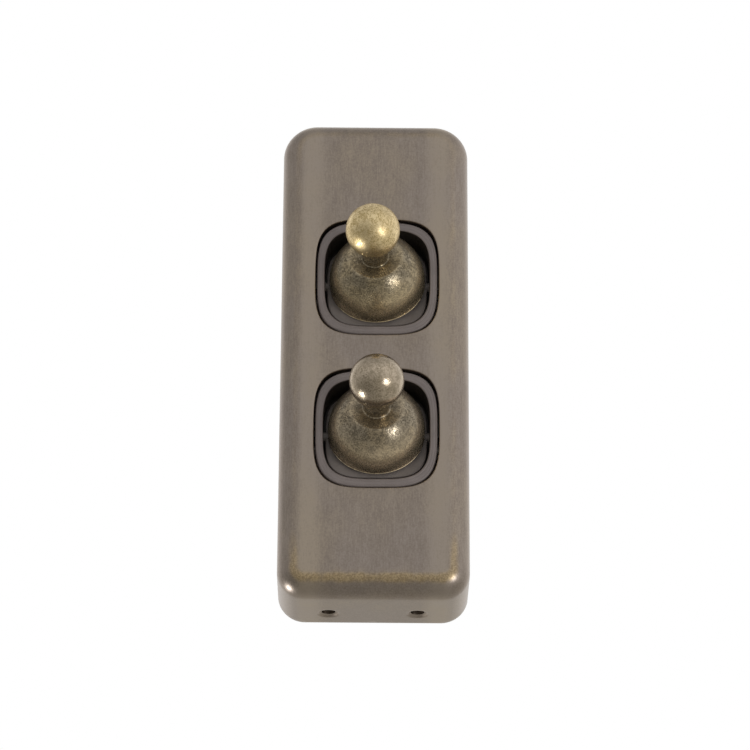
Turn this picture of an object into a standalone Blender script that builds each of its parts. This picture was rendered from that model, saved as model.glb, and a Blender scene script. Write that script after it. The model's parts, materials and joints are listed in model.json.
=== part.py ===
"""Two-gang narrow toggle wall switch with a cast brass cover and turned brass toggles.

Frame: the wall is the plane Y = 0 and the cover's front faces -Y. +X is to the right of
someone who faces the switch, +Z is up, and the origin is the middle of the mounting base's
back face. Lengths are in metres, written as millimetres times MM.
"""
import math

import bmesh
import bpy
from mathutils import Matrix

MM = 0.001

# ---------------------------------------------------------------- driving dimensions
GAP = 0.3 * MM                 # clearance between pieces that rest on or fit in each other
OVERSHOOT = 1.0 * MM           # how far a cutter runs past the face that it cuts
LIP = 0.3 * MM                 # small chamfers on turned edges

COVER_WIDTH = 40.0 * MM
COVER_HEIGHT = 109.0 * MM
COVER_DEPTH = 19.2 * MM
COVER_WALL = 2.2 * MM
TOP_CORNER_ROUND = 7.4 * MM    # corners seen from the front
BOTTOM_CORNER_ROUND = 5.8 * MM
FRONT_ROUND = 4.7 * MM         # edge between the front face and the side walls

OPENING_WIDTH = 26.6 * MM
OPENING_HEIGHT = 27.3 * MM
OPENING_POWER = 3.75           # exponent of the squared-circle outline
OPENING_PITCH = 34.8 * MM
OPENING_SHIFT_X = 0.45 * MM
OPENING_SHIFT_Z = -0.45 * MM

BEZEL_GAP = 0.45 * MM          # between the bezel and the edge of the cover's opening
BEZEL_RECESS = 0.5 * MM        # bezel face behind the cover's face
BEZEL_BAND_SIDE = 1.65 * MM
BEZEL_BAND_END = 1.9 * MM
BEZEL_POWER = 3.6
BEZEL_LENGTH = 8.5 * MM        # front to back, without the clip legs
LEG_WIDTH = 5.0 * MM
LEG_THICK = 1.2 * MM

PIVOT_DEPTH = 5.6 * MM         # toggle axis behind the cover's face
REST_TILT = 12.0               # degrees, toggle up; the throw is twice this
TRUNNION_RADIUS = 1.0 * MM
ROTOR_GAP_SIDE = 0.5 * MM      # between the rotor plate and the bezel's well
ROTOR_GAP_END = 0.8 * MM
ROTOR_PLATE = 1.5 * MM
ROTOR_PLATE_FRONT = 0.5 * MM   # plate face in front of the axis
HUB_RADIUS = 3.8 * MM
HUB_LENGTH = 3.0 * MM          # hub behind the axis
SPIGOT_RADIUS = 1.9 * MM
SPIGOT_PLAY = 0.7 * MM         # radial play of the spigot in the hub, which lets a toggle lean
SPIGOT_SEAT = 2.2 * MM         # depth of the hub's socket behind the axis
GUIDE_RADIUS = 2.2 * MM        # tube that carries the spring and plunger
GUIDE_BORE = 1.5 * MM
PLUNGER_PROUD = 2.2 * MM       # plunger's tip behind the end of its tube
GUIDE_FLOOR = 3.6 * MM

BELL_GAP = 1.0 * MM            # between the toggle's bell and the bezel's well
BELL_FORWARD = 2.8 * MM        # bell's widest section in front of the axis
BELL_RIM = 1.6 * MM            # rim behind the widest section
BELL_WALL = 1.5 * MM
BELL_SHOULDER = 48.0           # degrees above the widest section where the flare begins
NECK_RADIUS = 3.0 * MM
FLARE_ROUND = 1.6 * MM         # hollow curve between the neck and the bell
FLARE_HEIGHT = 9.3 * MM        # where the curve leaves the neck
BALL_RADIUS = 5.7 * MM
BALL_REACH = 17.5 * MM         # ball's centre in front of the bell's widest section

SPRING_ROOM = 2.2 * MM         # length of the tube that the spring takes
SPRING_WIRE = 0.2 * MM         # radius of the wire
SPRING_TURNS = 3

ROCKER_DEPTH = 13.0 * MM       # rocker's axis behind the toggle's axis
ROCKER_TILT = 9.0              # degrees each way
ROCKER_WIDTH = 4.4 * MM
ROCKER_THICK = 0.8 * MM
ROCKER_FRONT = 1.5 * MM        # rocker's front face in front of its own axis
ROCKER_PIN_RADIUS = 0.6 * MM
EAR_THICK = 0.8 * MM
BUTTON_RADIUS = 1.4 * MM
BUTTON_THICK = 0.6 * MM
ROCKER_BUTTON_RADIUS = 1.26 * MM
CONTACT_CLEAR = 0.44 * MM      # between a closed pair of buttons
STRIP_THICK = 0.8 * MM

CONTACT_FOOT = 1.1 * MM        # height of the contact strips' feet
TERMINAL_LENGTH = 6.8 * MM
TERMINAL_HALF_X = 4.5 * MM
TERMINAL_HALF_Z = 2.3 * MM
WIRE_HOLE_RADIUS = 1.4 * MM
WIRE_HOLE_X = -2.0 * MM
TERMINAL_SCREW_RADIUS = 1.0 * MM
TERMINAL_HEAD_RADIUS = 1.7 * MM
TERMINAL_HEAD_LENGTH = 1.3 * MM

HOUSING_WALL = 1.3 * MM
HOUSING_INSET_SIDE = 0.2 * MM  # housing side inside the bezel's well
HOUSING_INSET_END = 0.9 * MM   # housing end inside the bezel's outside
HOUSING_FLOOR = 1.5 * MM
EAR_REACH = 5.6 * MM
EAR_HALF_Z = 4.0 * MM
HOUSING_EAR_THICK = 1.6 * MM

BASE_THICK = 2.0 * MM
BASE_FLANGE_THICK = 1.6 * MM
BASE_FLANGE_DEPTH = 8.0 * MM
BASE_FLANGE_HALF = 13.0 * MM
CUTOUT_GAP = 0.4 * MM          # between the base's cut-out and the housing

FIXING_PITCH = 84.0 * MM       # centres of the two screws into the wall box
WALL_SCREW_RADIUS = 1.75 * MM
WALL_SCREW_HEAD = 3.4 * MM
WALL_SCREW_HEAD_LENGTH = 2.0 * MM
WALL_SCREW_LENGTH = 16.0 * MM

CLAMP_SCREW_RADIUS = 1.2 * MM  # screws that hold each housing to the base
CLAMP_HEAD_RADIUS = 2.2 * MM
CLAMP_HEAD_LENGTH = 1.4 * MM
CLAMP_EDGE = 2.3 * MM          # from the screw's middle to the end of the ear

COVER_SCREW_X = 9.3 * MM
COVER_SCREW_DEPTH = 5.8 * MM   # in front of the wall
COVER_SCREW_RADIUS = 1.15 * MM
COVER_SCREW_RECESS = 1.2 * MM
COVER_SCREW_LENGTH = 6.0 * MM
SOCKET_RADIUS = 0.7 * MM
DIMPLE_RADIUS = 6.0 * MM
DIMPLE_DEPTH = 0.45 * MM
PEG_LENGTH = 4.0 * MM

SLOT_WIDTH = 0.6 * MM          # screwdriver slots
SLOT_DEPTH = 0.6 * MM

# name, side of the middle, extra tilt and sideways lean of the toggle in its hub (degrees)
MECHANISMS = (("upper", 1, -0.5, -3.5), ("lower", -1, 0.8, -0.3))

# ---------------------------------------------------------------- sizes that follow
FACE_Y = -COVER_DEPTH
PIVOT_Y = FACE_Y + PIVOT_DEPTH
PLUNGER_TIP = ROCKER_DEPTH - ROCKER_FRONT - GAP
PLUNGER_BACK = GUIDE_FLOOR + SPRING_ROOM
GUIDE_END = PLUNGER_TIP - PLUNGER_PROUD
BEZEL_HALF_X = OPENING_WIDTH / 2 - BEZEL_GAP
BEZEL_HALF_Z = OPENING_HEIGHT / 2 - BEZEL_GAP
WELL_HALF_X = BEZEL_HALF_X - BEZEL_BAND_SIDE
WELL_HALF_Z = BEZEL_HALF_Z - BEZEL_BAND_END
BEZEL_BACK_Y = FACE_Y + BEZEL_RECESS + BEZEL_LENGTH
ROTOR_HALF_X = WELL_HALF_X - ROTOR_GAP_SIDE
ROTOR_HALF_Z = WELL_HALF_Z - ROTOR_GAP_END
BELL_RADIUS = min(WELL_HALF_X, WELL_HALF_Z) - BELL_GAP
HOUSING_HALF_X = WELL_HALF_X - HOUSING_INSET_SIDE
HOUSING_HALF_Z = BEZEL_HALF_Z - HOUSING_INSET_END
TERMINAL_Z = HOUSING_HALF_Z - HOUSING_WALL - GAP - TERMINAL_HALF_Z
BUTTON_Z = TERMINAL_Z - TERMINAL_HALF_Z + BUTTON_RADIUS / 2
ROCKER_BUTTON_BACK = -ROCKER_FRONT + ROCKER_THICK + BUTTON_THICK
BUTTON_DROP = ((BUTTON_Z + ROCKER_BUTTON_RADIUS) * math.sin(math.radians(ROCKER_TILT))
               + ROCKER_BUTTON_BACK * math.cos(math.radians(ROCKER_TILT)))
FIXED_BUTTON_DEPTH = ROCKER_DEPTH + BUTTON_DROP + CONTACT_CLEAR
TERMINAL_DEPTH = FIXED_BUTTON_DEPTH + BUTTON_THICK + STRIP_THICK + CONTACT_FOOT
HOUSING_FRONT_Y = BEZEL_BACK_Y + GAP
HOUSING_FLOOR_Y = PIVOT_Y + TERMINAL_DEPTH + TERMINAL_LENGTH + GAP
HOUSING_BACK_Y = HOUSING_FLOOR_Y + HOUSING_FLOOR
BASE_HALF_X = COVER_WIDTH / 2 - COVER_WALL - GAP
BASE_HALF_Z = COVER_HEIGHT / 2 - COVER_WALL - GAP
BASE_CORNER = max(TOP_CORNER_ROUND - COVER_WALL - GAP, BOTTOM_CORNER_ROUND - COVER_WALL - GAP, 1.0 * MM)
CLAMP_SCREW_X = HOUSING_HALF_X + EAR_REACH - CLAMP_EDGE
EAR_FRONT_Y = -BASE_THICK - GAP - HOUSING_EAR_THICK
LEG_END_Y = EAR_FRONT_Y - CLAMP_HEAD_LENGTH - 2 * GAP


# ---------------------------------------------------------------- scene and materials
def clear_scene():
    """Remove every object of the start-up scene."""
    for item in list(bpy.data.objects):
        bpy.data.objects.remove(item, do_unlink=True)


def new_collection(name):
    """Add a collection to the scene."""
    group = bpy.data.collections.new(name)
    bpy.context.scene.collection.children.link(group)
    return group


def make_material(name, colour, roughness, metallic):
    """Plain Principled material with one colour."""
    material = bpy.data.materials.new(name)
    material.use_nodes = True
    shader = material.node_tree.nodes["Principled BSDF"]
    shader.inputs["Base Color"].default_value = (*colour, 1.0)
    shader.inputs["Roughness"].default_value = roughness
    shader.inputs["Metallic"].default_value = metallic
    return material


clear_scene()
PARTS = new_collection("toggle_wall_switch")
CUTTERS = new_collection("cutters")
AGED_BRASS = ("aged_brass", (0.27, 0.22, 0.17), 0.42, 1.0)
WORN_BRASS = ("worn_brass", (0.42, 0.33, 0.19), 0.30, 1.0)
RIM_PLASTIC = ("rim_plastic", (0.17, 0.14, 0.14), 0.45, 0.0)
DARK_PLASTIC = ("dark_plastic", (0.05, 0.045, 0.04), 0.5, 0.0)
SCREW_STEEL = ("screw_steel", (0.30, 0.28, 0.25), 0.4, 1.0)
BASE_STEEL = ("base_steel", (0.45, 0.44, 0.42), 0.45, 1.0)
CONTACT_BRASS = ("contact_brass", (0.55, 0.42, 0.20), 0.35, 1.0)


# ---------------------------------------------------------------- modelling helpers
def link(name, mesh, group, parent=None, location=(0, 0, 0), rotation=(0, 0, 0)):
    """Put a mesh in the scene as an object."""
    item = bpy.data.objects.new(name, mesh)
    group.objects.link(item)
    item.parent = parent
    item.location = location
    item.rotation_euler = rotation
    return item


def finish(item, finish_values, smooth_angle=30):
    """Give a part its own material and shade its round faces smooth."""
    item.data.materials.clear()
    _, colour, roughness, metallic = finish_values
    item.data.materials.append(make_material(item.name + "_finish", colour, roughness, metallic))
    item.data.shade_smooth()
    item.data.set_sharp_from_angle(angle=math.radians(smooth_angle))
    return item


def box_mesh(name, size):
    """Cuboid centred on the origin."""
    shape = bmesh.new()
    bmesh.ops.create_cube(shape, size=1.0)
    bmesh.ops.scale(shape, vec=size, verts=shape.verts)
    mesh = bpy.data.meshes.new(name)
    shape.to_mesh(mesh)
    shape.free()
    return mesh


def box_between(name, low, high, group=None, parent=None):
    """Cuboid from its lowest to its highest corner."""
    size = [b - a for a, b in zip(low, high)]
    middle = [(a + b) / 2 for a, b in zip(low, high)]
    return link(name, box_mesh(name, size), group or CUTTERS, parent, middle)


def rod_mesh(name, radius, length, axis, sides=20, end_radius=None):
    """Cylinder or cone along X, Y or Z, centred on the origin."""
    shape = bmesh.new()
    tip = radius if end_radius is None else end_radius
    bmesh.ops.create_cone(shape, cap_ends=True, segments=sides, radius1=radius, radius2=tip, depth=length)
    turn = {"X": Matrix.Rotation(math.pi / 2, 4, "Y"), "Y": Matrix.Rotation(-math.pi / 2, 4, "X"),
            "Z": Matrix.Identity(4)}[axis]
    shape.transform(turn)
    mesh = bpy.data.meshes.new(name)
    shape.to_mesh(mesh)
    shape.free()
    return mesh


def ball_mesh(name, radius):
    """Sphere centred on the origin."""
    shape = bmesh.new()
    bmesh.ops.create_uvsphere(shape, u_segments=28, v_segments=20, radius=radius)
    mesh = bpy.data.meshes.new(name)
    shape.to_mesh(mesh)
    shape.free()
    return mesh


def rod(name, radius, start, end, axis, centre, group=None, parent=None, sides=20, end_radius=None):
    """Cylinder or cone that runs along an axis from start to end; centre gives the other two places."""
    place = {"X": ((start + end) / 2, centre[0], centre[1]), "Y": (centre[0], (start + end) / 2, centre[1]),
             "Z": (centre[0], centre[1], (start + end) / 2)}[axis]
    mesh = rod_mesh(name, radius, end - start, axis, sides, end_radius)
    return link(name, mesh, group or CUTTERS, parent, place)


def squared_circle(half_x, half_z, power, count=44):
    """Outline between a circle and a rectangle: |x/a|^power + |z/b|^power = 1."""
    points = []
    for step in range(count):
        angle = 2 * math.pi * (step + 0.5) / count
        across = math.copysign(abs(math.cos(angle)) ** (2 / power), math.cos(angle))
        along = math.copysign(abs(math.sin(angle)) ** (2 / power), math.sin(angle))
        points.append((half_x * across, half_z * along))
    return points


def slab(name, outline, front, back, group=None, parent=None, centre=(0, 0)):
    """Flat outline in X and Z, as thick as the distance from front to back along Y."""
    curve = bpy.data.curves.new(name + "_outline", "CURVE")
    curve.dimensions = "2D"
    curve.fill_mode = "BOTH"
    curve.extrude = (back - front) / 2
    spline = curve.splines.new("POLY")
    spline.points.add(len(outline) - 1)
    for point, (x, z) in zip(spline.points, outline):
        point.co = (x, z, 0, 1)
    spline.use_cyclic_u = True
    drawn = bpy.data.objects.new(name + "_outline", curve)
    CUTTERS.objects.link(drawn)
    mesh = bpy.data.meshes.new_from_object(drawn.evaluated_get(bpy.context.evaluated_depsgraph_get()))
    bpy.data.objects.remove(drawn, do_unlink=True)
    shape = bmesh.new()
    shape.from_mesh(mesh)
    bmesh.ops.remove_doubles(shape, verts=shape.verts, dist=0.00001)
    shape.transform(Matrix.Rotation(math.pi / 2, 4, "X"))
    bmesh.ops.recalc_face_normals(shape, faces=shape.faces)
    shape.to_mesh(mesh)
    shape.free()
    mesh.name = name
    return link(name, mesh, group or CUTTERS, parent, (centre[0], (front + back) / 2, centre[1]))


def turned(name, profile, steps, parent=None, location=(0, 0, 0), rotation=(0, 0, 0)):
    """Profile of radius and height, from top to bottom, swept round the local Z axis."""
    mesh = bpy.data.meshes.new(name)
    points = [(radius, 0, height) for radius, height in profile]
    mesh.from_pydata(points, [(k, k + 1) for k in range(len(points) - 1)], [])
    item = link(name, mesh, PARTS, parent, location, rotation)
    sweep = item.modifiers.new("turn", "SCREW")
    sweep.steps = steps
    sweep.render_steps = steps
    sweep.use_merge_vertices = True
    sweep.merge_threshold = 0.00001
    sweep.use_smooth_shade = True
    return item


def combine(item, tool, operation="DIFFERENCE"):
    """Cut a tool out of a part, or join it on, and keep the tool as a guide."""
    tool.hide_render = True
    tool.display_type = "WIRE"
    step = item.modifiers.new(tool.name, "BOOLEAN")
    step.object = tool
    step.operation = operation
    step.solver = "EXACT"


def arc(centre_x, centre_y, radius, start, end, count):
    """Points on a circle from one angle to another, in degrees."""
    angles = [math.radians(start + (end - start) * k / count) for k in range(count + 1)]
    return [(centre_x + radius * math.cos(a), centre_y + radius * math.sin(a)) for a in angles]


# ---------------------------------------------------------------- cover and base
def opening_places():
    """Centres of the two openings as X and Z."""
    return [(OPENING_SHIFT_X, OPENING_SHIFT_Z + side * OPENING_PITCH / 2) for _, side, _, _ in MECHANISMS]


def make_cover():
    """Cast shell: a rounded box that is open at the wall, with two openings in its face."""
    shape = bmesh.new()
    bmesh.ops.create_cube(shape, size=1.0)
    bmesh.ops.scale(shape, vec=(COVER_WIDTH, COVER_DEPTH, COVER_HEIGHT), verts=shape.verts)
    bmesh.ops.translate(shape, vec=(0, -COVER_DEPTH / 2, 0), verts=shape.verts)
    for end, radius in ((1, TOP_CORNER_ROUND), (-1, BOTTOM_CORNER_ROUND)):
        corners = [e for e in shape.edges
                   if abs(e.verts[0].co.y - e.verts[1].co.y) > COVER_DEPTH / 2 and end * e.verts[0].co.z > 0]
        bmesh.ops.bevel(shape, geom=corners, offset=radius, segments=9, profile=0.5, affect="EDGES")
    rim = [e for e in shape.edges if all(v.co.y < -COVER_DEPTH + GAP / 2 for v in e.verts)]
    bmesh.ops.bevel(shape, geom=rim, offset=FRONT_ROUND, segments=7, profile=0.5, affect="EDGES")
    open_side = [f for f in shape.faces if f.normal.y > 0.9]
    bmesh.ops.delete(shape, geom=open_side, context="FACES")
    mesh = bpy.data.meshes.new("cover_plate")
    shape.to_mesh(mesh)
    shape.free()
    cover = link("cover_plate", mesh, PARTS)
    shell = cover.modifiers.new("wall", "SOLIDIFY")
    shell.thickness = COVER_WALL
    shell.offset = -1.0
    shell.use_even_offset = True
    outline = squared_circle(OPENING_WIDTH / 2, OPENING_HEIGHT / 2, OPENING_POWER)
    for number, place in enumerate(opening_places()):
        window = slab(f"window_{number}", outline, FACE_Y - COVER_WALL, FACE_Y + 2 * COVER_WALL, centre=place)
        combine(cover, window)
    inside_top = COVER_HEIGHT / 2 - COVER_WALL
    for side in (-1, 1):
        at = (side * COVER_SCREW_X, -COVER_SCREW_DEPTH)
        hole = rod(f"screw_hole_{side}", COVER_SCREW_RADIUS + GAP, -COVER_HEIGHT / 2 - COVER_WALL,
                   -inside_top + COVER_WALL, "Z", at)
        combine(cover, hole)
        below = -COVER_HEIGHT / 2 - DIMPLE_RADIUS + DIMPLE_DEPTH
        dimple = link(f"dimple_{side}", ball_mesh("dimple", DIMPLE_RADIUS), CUTTERS, location=(*at, below))
        combine(cover, dimple)
        peg = rod(f"peg_{side}", COVER_SCREW_RADIUS, inside_top - PEG_LENGTH, inside_top + COVER_WALL / 2, "Z",
                  at)
        combine(cover, peg, "UNION")
    return finish(cover, AGED_BRASS, 40)


def make_base():
    """Pressed steel plate with turned-out flanges, screwed to the wall box under the cover."""
    shape = bmesh.new()
    bmesh.ops.create_cube(shape, size=1.0)
    bmesh.ops.scale(shape, vec=(2 * BASE_HALF_X, BASE_THICK, 2 * BASE_HALF_Z), verts=shape.verts)
    corners = [e for e in shape.edges if abs(e.verts[0].co.y - e.verts[1].co.y) > BASE_THICK / 2]
    bmesh.ops.bevel(shape, geom=corners, offset=BASE_CORNER, segments=5, profile=0.5, affect="EDGES")
    mesh = bpy.data.meshes.new("mounting_base")
    shape.to_mesh(mesh)
    shape.free()
    base = link("mounting_base", mesh, PARTS, location=(0, -BASE_THICK / 2, 0))
    front = -BASE_THICK
    for end in (-1, 1):
        outer, inner = end * BASE_HALF_Z, end * (BASE_HALF_Z - BASE_FLANGE_THICK)
        flange = box_between(f"flange_{end}",
                             (-BASE_FLANGE_HALF, front - BASE_FLANGE_DEPTH, min(outer, inner)),
                             (BASE_FLANGE_HALF, front + BASE_THICK / 2, max(outer, inner)))
        combine(base, flange, "UNION")
        for side in (-1, 1):
            hole = rod(f"flange_hole_{end}_{side}", COVER_SCREW_RADIUS + GAP, min(outer, inner) - BASE_THICK,
                       max(outer, inner) + BASE_THICK, "Z", (side * COVER_SCREW_X, -COVER_SCREW_DEPTH))
            combine(base, hole)
        screw_z = end * FIXING_PITCH / 2
        fixing = rod(f"fixing_hole_{end}", WALL_SCREW_RADIUS + GAP, 2 * front, -front, "Y", (0, screw_z))
        combine(base, fixing)
    for (name, _, _, _), (x, z) in zip(MECHANISMS, opening_places()):
        cut = box_between(f"cutout_{name}",
                          (x - HOUSING_HALF_X - CUTOUT_GAP, 2 * front, z - HOUSING_HALF_Z - CUTOUT_GAP),
                          (x + HOUSING_HALF_X + CUTOUT_GAP, -front, z + HOUSING_HALF_Z + CUTOUT_GAP))
        combine(base, cut)
        for hand in (-1, 1):
            hole = rod(f"clamp_hole_{name}_{hand}", CLAMP_SCREW_RADIUS + GAP, 2 * front, -front, "Y",
                       (x + hand * CLAMP_SCREW_X, z))
            combine(base, hole)
    return finish(base, BASE_STEEL)


def pan_screw(name, radius, head_radius, head_length, length, location, rotation, values):
    """Slotted screw: its head's top is at local +Z, its shank runs down."""
    crown = head_length * 0.3
    head = [(0, head_length), (head_radius - crown, head_length), (head_radius, head_length - crown),
            (head_radius, 0)]
    profile = head + [(radius, 0), (radius, -length + radius / 2), (radius / 2, -length), (0, -length)]
    screw = turned(name, profile, 16, None, location, rotation)
    groove = box_mesh("slot", (3 * head_radius, SLOT_WIDTH, 2 * SLOT_DEPTH))
    slot = link(name + "_slot", groove, CUTTERS, screw, (0, 0, head_length))
    combine(screw, slot)
    return finish(screw, values)


def make_wall_screws():
    """Two screws that pull the base against the wall box."""
    for name, end in (("wall_screw_upper", 1), ("wall_screw_lower", -1)):
        place = (0, -BASE_THICK - GAP, end * FIXING_PITCH / 2)
        pan_screw(name, WALL_SCREW_RADIUS, WALL_SCREW_HEAD, WALL_SCREW_HEAD_LENGTH, WALL_SCREW_LENGTH,
                  place, (math.pi / 2, 0, 0), SCREW_STEEL)


def make_cover_screws():
    """Two socket grub screws from below, through the cover and the base's lower flange."""
    for name, side in (("cover_screw_left", -1), ("cover_screw_right", 1)):
        start = -COVER_HEIGHT / 2 + COVER_SCREW_RECESS
        screw = rod(name, COVER_SCREW_RADIUS, start, start + COVER_SCREW_LENGTH, "Z",
                    (side * COVER_SCREW_X, -COVER_SCREW_DEPTH), PARTS)
        socket = rod(name + "_socket", SOCKET_RADIUS, start - SLOT_DEPTH, start + 2 * SLOT_DEPTH, "Z",
                     (side * COVER_SCREW_X, -COVER_SCREW_DEPTH), sides=6)
        combine(screw, socket)
        finish(screw, SCREW_STEEL)


# ---------------------------------------------------------------- fixed parts of a mechanism
def make_bezel(name, x, z):
    """Moulded rim round the toggle, with bearing holes for the rotor and two clip legs."""
    front = FACE_Y + BEZEL_RECESS
    outer = squared_circle(BEZEL_HALF_X, BEZEL_HALF_Z, BEZEL_POWER)
    inner = squared_circle(WELL_HALF_X, WELL_HALF_Z, BEZEL_POWER)
    bezel = slab(f"{name}_bezel", outer, front, BEZEL_BACK_Y, PARTS, centre=(x, z))
    for hand in (-1, 1):
        near, far = hand * (HOUSING_HALF_X + GAP), hand * (HOUSING_HALF_X + GAP + LEG_THICK)
        leg = box_between(f"{name}_leg_{hand}",
                          (x + min(near, far), BEZEL_BACK_Y - 2 * LEG_THICK, z - LEG_WIDTH / 2),
                          (x + max(near, far), LEG_END_Y, z + LEG_WIDTH / 2))
        combine(bezel, leg, "UNION")
    combine(bezel, slab(f"{name}_well", inner, front - OVERSHOOT, BEZEL_BACK_Y + OVERSHOOT, centre=(x, z)))
    bearing = rod(f"{name}_bearing", TRUNNION_RADIUS + GAP, x - BEZEL_HALF_X - OVERSHOOT,
                  x + BEZEL_HALF_X + OVERSHOOT, "X", (PIVOT_Y, z))
    combine(bezel, bearing)
    return finish(bezel, RIM_PLASTIC)


def make_housing(name, x, z):
    """Moulded box behind the bezel, with ears that are screwed to the base."""
    low = (x - HOUSING_HALF_X, HOUSING_FRONT_Y, z - HOUSING_HALF_Z)
    high = (x + HOUSING_HALF_X, HOUSING_BACK_Y, z + HOUSING_HALF_Z)
    housing = box_between(f"{name}_housing", low, high, PARTS)
    reach = HOUSING_HALF_X + EAR_REACH
    ears = box_between(f"{name}_ears", (x - reach, EAR_FRONT_Y, z - EAR_HALF_Z),
                       (x + reach, EAR_FRONT_Y + HOUSING_EAR_THICK, z + EAR_HALF_Z))
    combine(housing, ears, "UNION")
    inside = box_between(f"{name}_inside",
                         (low[0] + HOUSING_WALL, low[1] - HOUSING_WALL, low[2] + HOUSING_WALL),
                         (high[0] - HOUSING_WALL, HOUSING_FLOOR_Y, high[2] - HOUSING_WALL))
    combine(housing, inside)
    for hand in (-1, 1):
        hole = rod(f"{name}_ear_hole_{hand}", CLAMP_SCREW_RADIUS + GAP, EAR_FRONT_Y - OVERSHOOT,
                   EAR_FRONT_Y + 2 * HOUSING_EAR_THICK, "Y", (x + hand * CLAMP_SCREW_X, z))
        combine(housing, hole)
    for row in (-1, 0, 1):
        wire = rod(f"{name}_wire_way_{row}", WIRE_HOLE_RADIUS + GAP, HOUSING_FLOOR_Y - OVERSHOOT,
                   HOUSING_BACK_Y + OVERSHOOT, "Y", (x + WIRE_HOLE_X, z + row * TERMINAL_Z))
        access = rod(f"{name}_screw_way_{row}", TERMINAL_HEAD_RADIUS + GAP,
                     x + HOUSING_HALF_X - 2 * HOUSING_WALL, x + HOUSING_HALF_X + HOUSING_WALL, "X",
                     (PIVOT_Y + TERMINAL_DEPTH + TERMINAL_LENGTH / 2, z + row * TERMINAL_Z))
        combine(housing, wire)
        combine(housing, access)
    return finish(housing, DARK_PLASTIC)


def make_clamp_screws(name, x, z):
    """Left and right screws through the housing's ears into the base."""
    for label, hand in (("left", -1), ("right", 1)):
        place = (x + hand * CLAMP_SCREW_X, EAR_FRONT_Y - GAP, z)
        pan_screw(f"{name}_clamp_screw_{label}", CLAMP_SCREW_RADIUS, CLAMP_HEAD_RADIUS, CLAMP_HEAD_LENGTH,
                  HOUSING_EAR_THICK + BASE_THICK + GAP, place, (math.pi / 2, 0, 0), SCREW_STEEL)


def make_terminals(name, x, z):
    """Three brass terminals: two switched ends and the common one between them."""
    front = PIVOT_Y + TERMINAL_DEPTH
    middle_y = front + TERMINAL_LENGTH / 2
    for label, row in (("off", 1), ("common", 0), ("on", -1)):
        at = z + row * TERMINAL_Z
        block = box_between(f"{name}_{label}_terminal", (x - TERMINAL_HALF_X, front, at - TERMINAL_HALF_Z),
                            (x + TERMINAL_HALF_X, front + TERMINAL_LENGTH, at + TERMINAL_HALF_Z), PARTS)
        combine(block, rod(f"{name}_{label}_wire_hole", WIRE_HOLE_RADIUS, front + OVERSHOOT,
                           front + TERMINAL_LENGTH + OVERSHOOT, "Y", (x + WIRE_HOLE_X, at)))
        combine(block, rod(f"{name}_{label}_tapping", TERMINAL_SCREW_RADIUS + GAP, x + WIRE_HOLE_X,
                           x + TERMINAL_HALF_X + OVERSHOOT, "X", (middle_y, at)))
        finish(block, CONTACT_BRASS)
        pan_screw(f"{name}_{label}_terminal_screw", TERMINAL_SCREW_RADIUS, TERMINAL_HEAD_RADIUS,
                  TERMINAL_HEAD_LENGTH, TERMINAL_HALF_X - WIRE_HOLE_X / 2,
                  (x + TERMINAL_HALF_X + GAP, middle_y, at), (0, math.pi / 2, 0), SCREW_STEEL)


def make_fixed_contacts(name, x, z):
    """Bent strips with a contact button in front of each switched terminal."""
    button_front = PIVOT_Y + FIXED_BUTTON_DEPTH
    strip_front = button_front + BUTTON_THICK
    foot_back = PIVOT_Y + TERMINAL_DEPTH - GAP
    half = ROCKER_WIDTH / 2
    for label, row in (("off", 1), ("on", -1)):
        near, far = row * (BUTTON_Z - BUTTON_RADIUS), row * (TERMINAL_Z + TERMINAL_HALF_Z)
        strip = box_between(f"{name}_{label}_contact", (x - half, strip_front, z + min(near, far)),
                            (x + half, strip_front + STRIP_THICK, z + max(near, far)), PARTS)
        inner = row * (TERMINAL_Z + TERMINAL_HALF_Z - STRIP_THICK)
        foot = box_between(f"{name}_{label}_foot",
                           (x - half, strip_front + STRIP_THICK / 2, z + min(inner, far)),
                           (x + half, foot_back, z + max(inner, far)))
        combine(strip, foot, "UNION")
        button = rod(f"{name}_{label}_button", BUTTON_RADIUS, button_front, strip_front + STRIP_THICK / 2,
                     "Y", (x, z + row * BUTTON_Z), sides=16)
        combine(strip, button, "UNION")
        finish(strip, CONTACT_BRASS)


def make_common_contact(name, x, z):
    """Strip with two ears that hold the rocker's pin."""
    axis_y = PIVOT_Y + ROCKER_DEPTH
    half = ROCKER_WIDTH / 2 + GAP + EAR_THICK
    foot_front = PIVOT_Y + TERMINAL_DEPTH - GAP - STRIP_THICK
    bracket = box_between(f"{name}_common_contact", (x - half, foot_front, z - BUTTON_RADIUS),
                          (x + half, foot_front + STRIP_THICK, z + BUTTON_RADIUS), PARTS)
    for hand in (-1, 1):
        near, far = hand * (half - EAR_THICK), hand * half
        ear = box_between(f"{name}_ear_{hand}",
                          (x + min(near, far), axis_y - 2 * ROCKER_PIN_RADIUS, z - BUTTON_RADIUS),
                          (x + max(near, far), foot_front + STRIP_THICK / 2, z + BUTTON_RADIUS))
        combine(bracket, ear, "UNION")
    pin_way = rod(f"{name}_pin_way", ROCKER_PIN_RADIUS + GAP, x - 2 * half, x + 2 * half, "X", (axis_y, z),
                  sides=12)
    combine(bracket, pin_way)
    finish(bracket, CONTACT_BRASS)
    pin = rod(f"{name}_rocker_pin", ROCKER_PIN_RADIUS, x - half - GAP, x + half + GAP, "X", (axis_y, z),
              PARTS, sides=12)
    finish(pin, SCREW_STEEL)


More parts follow.
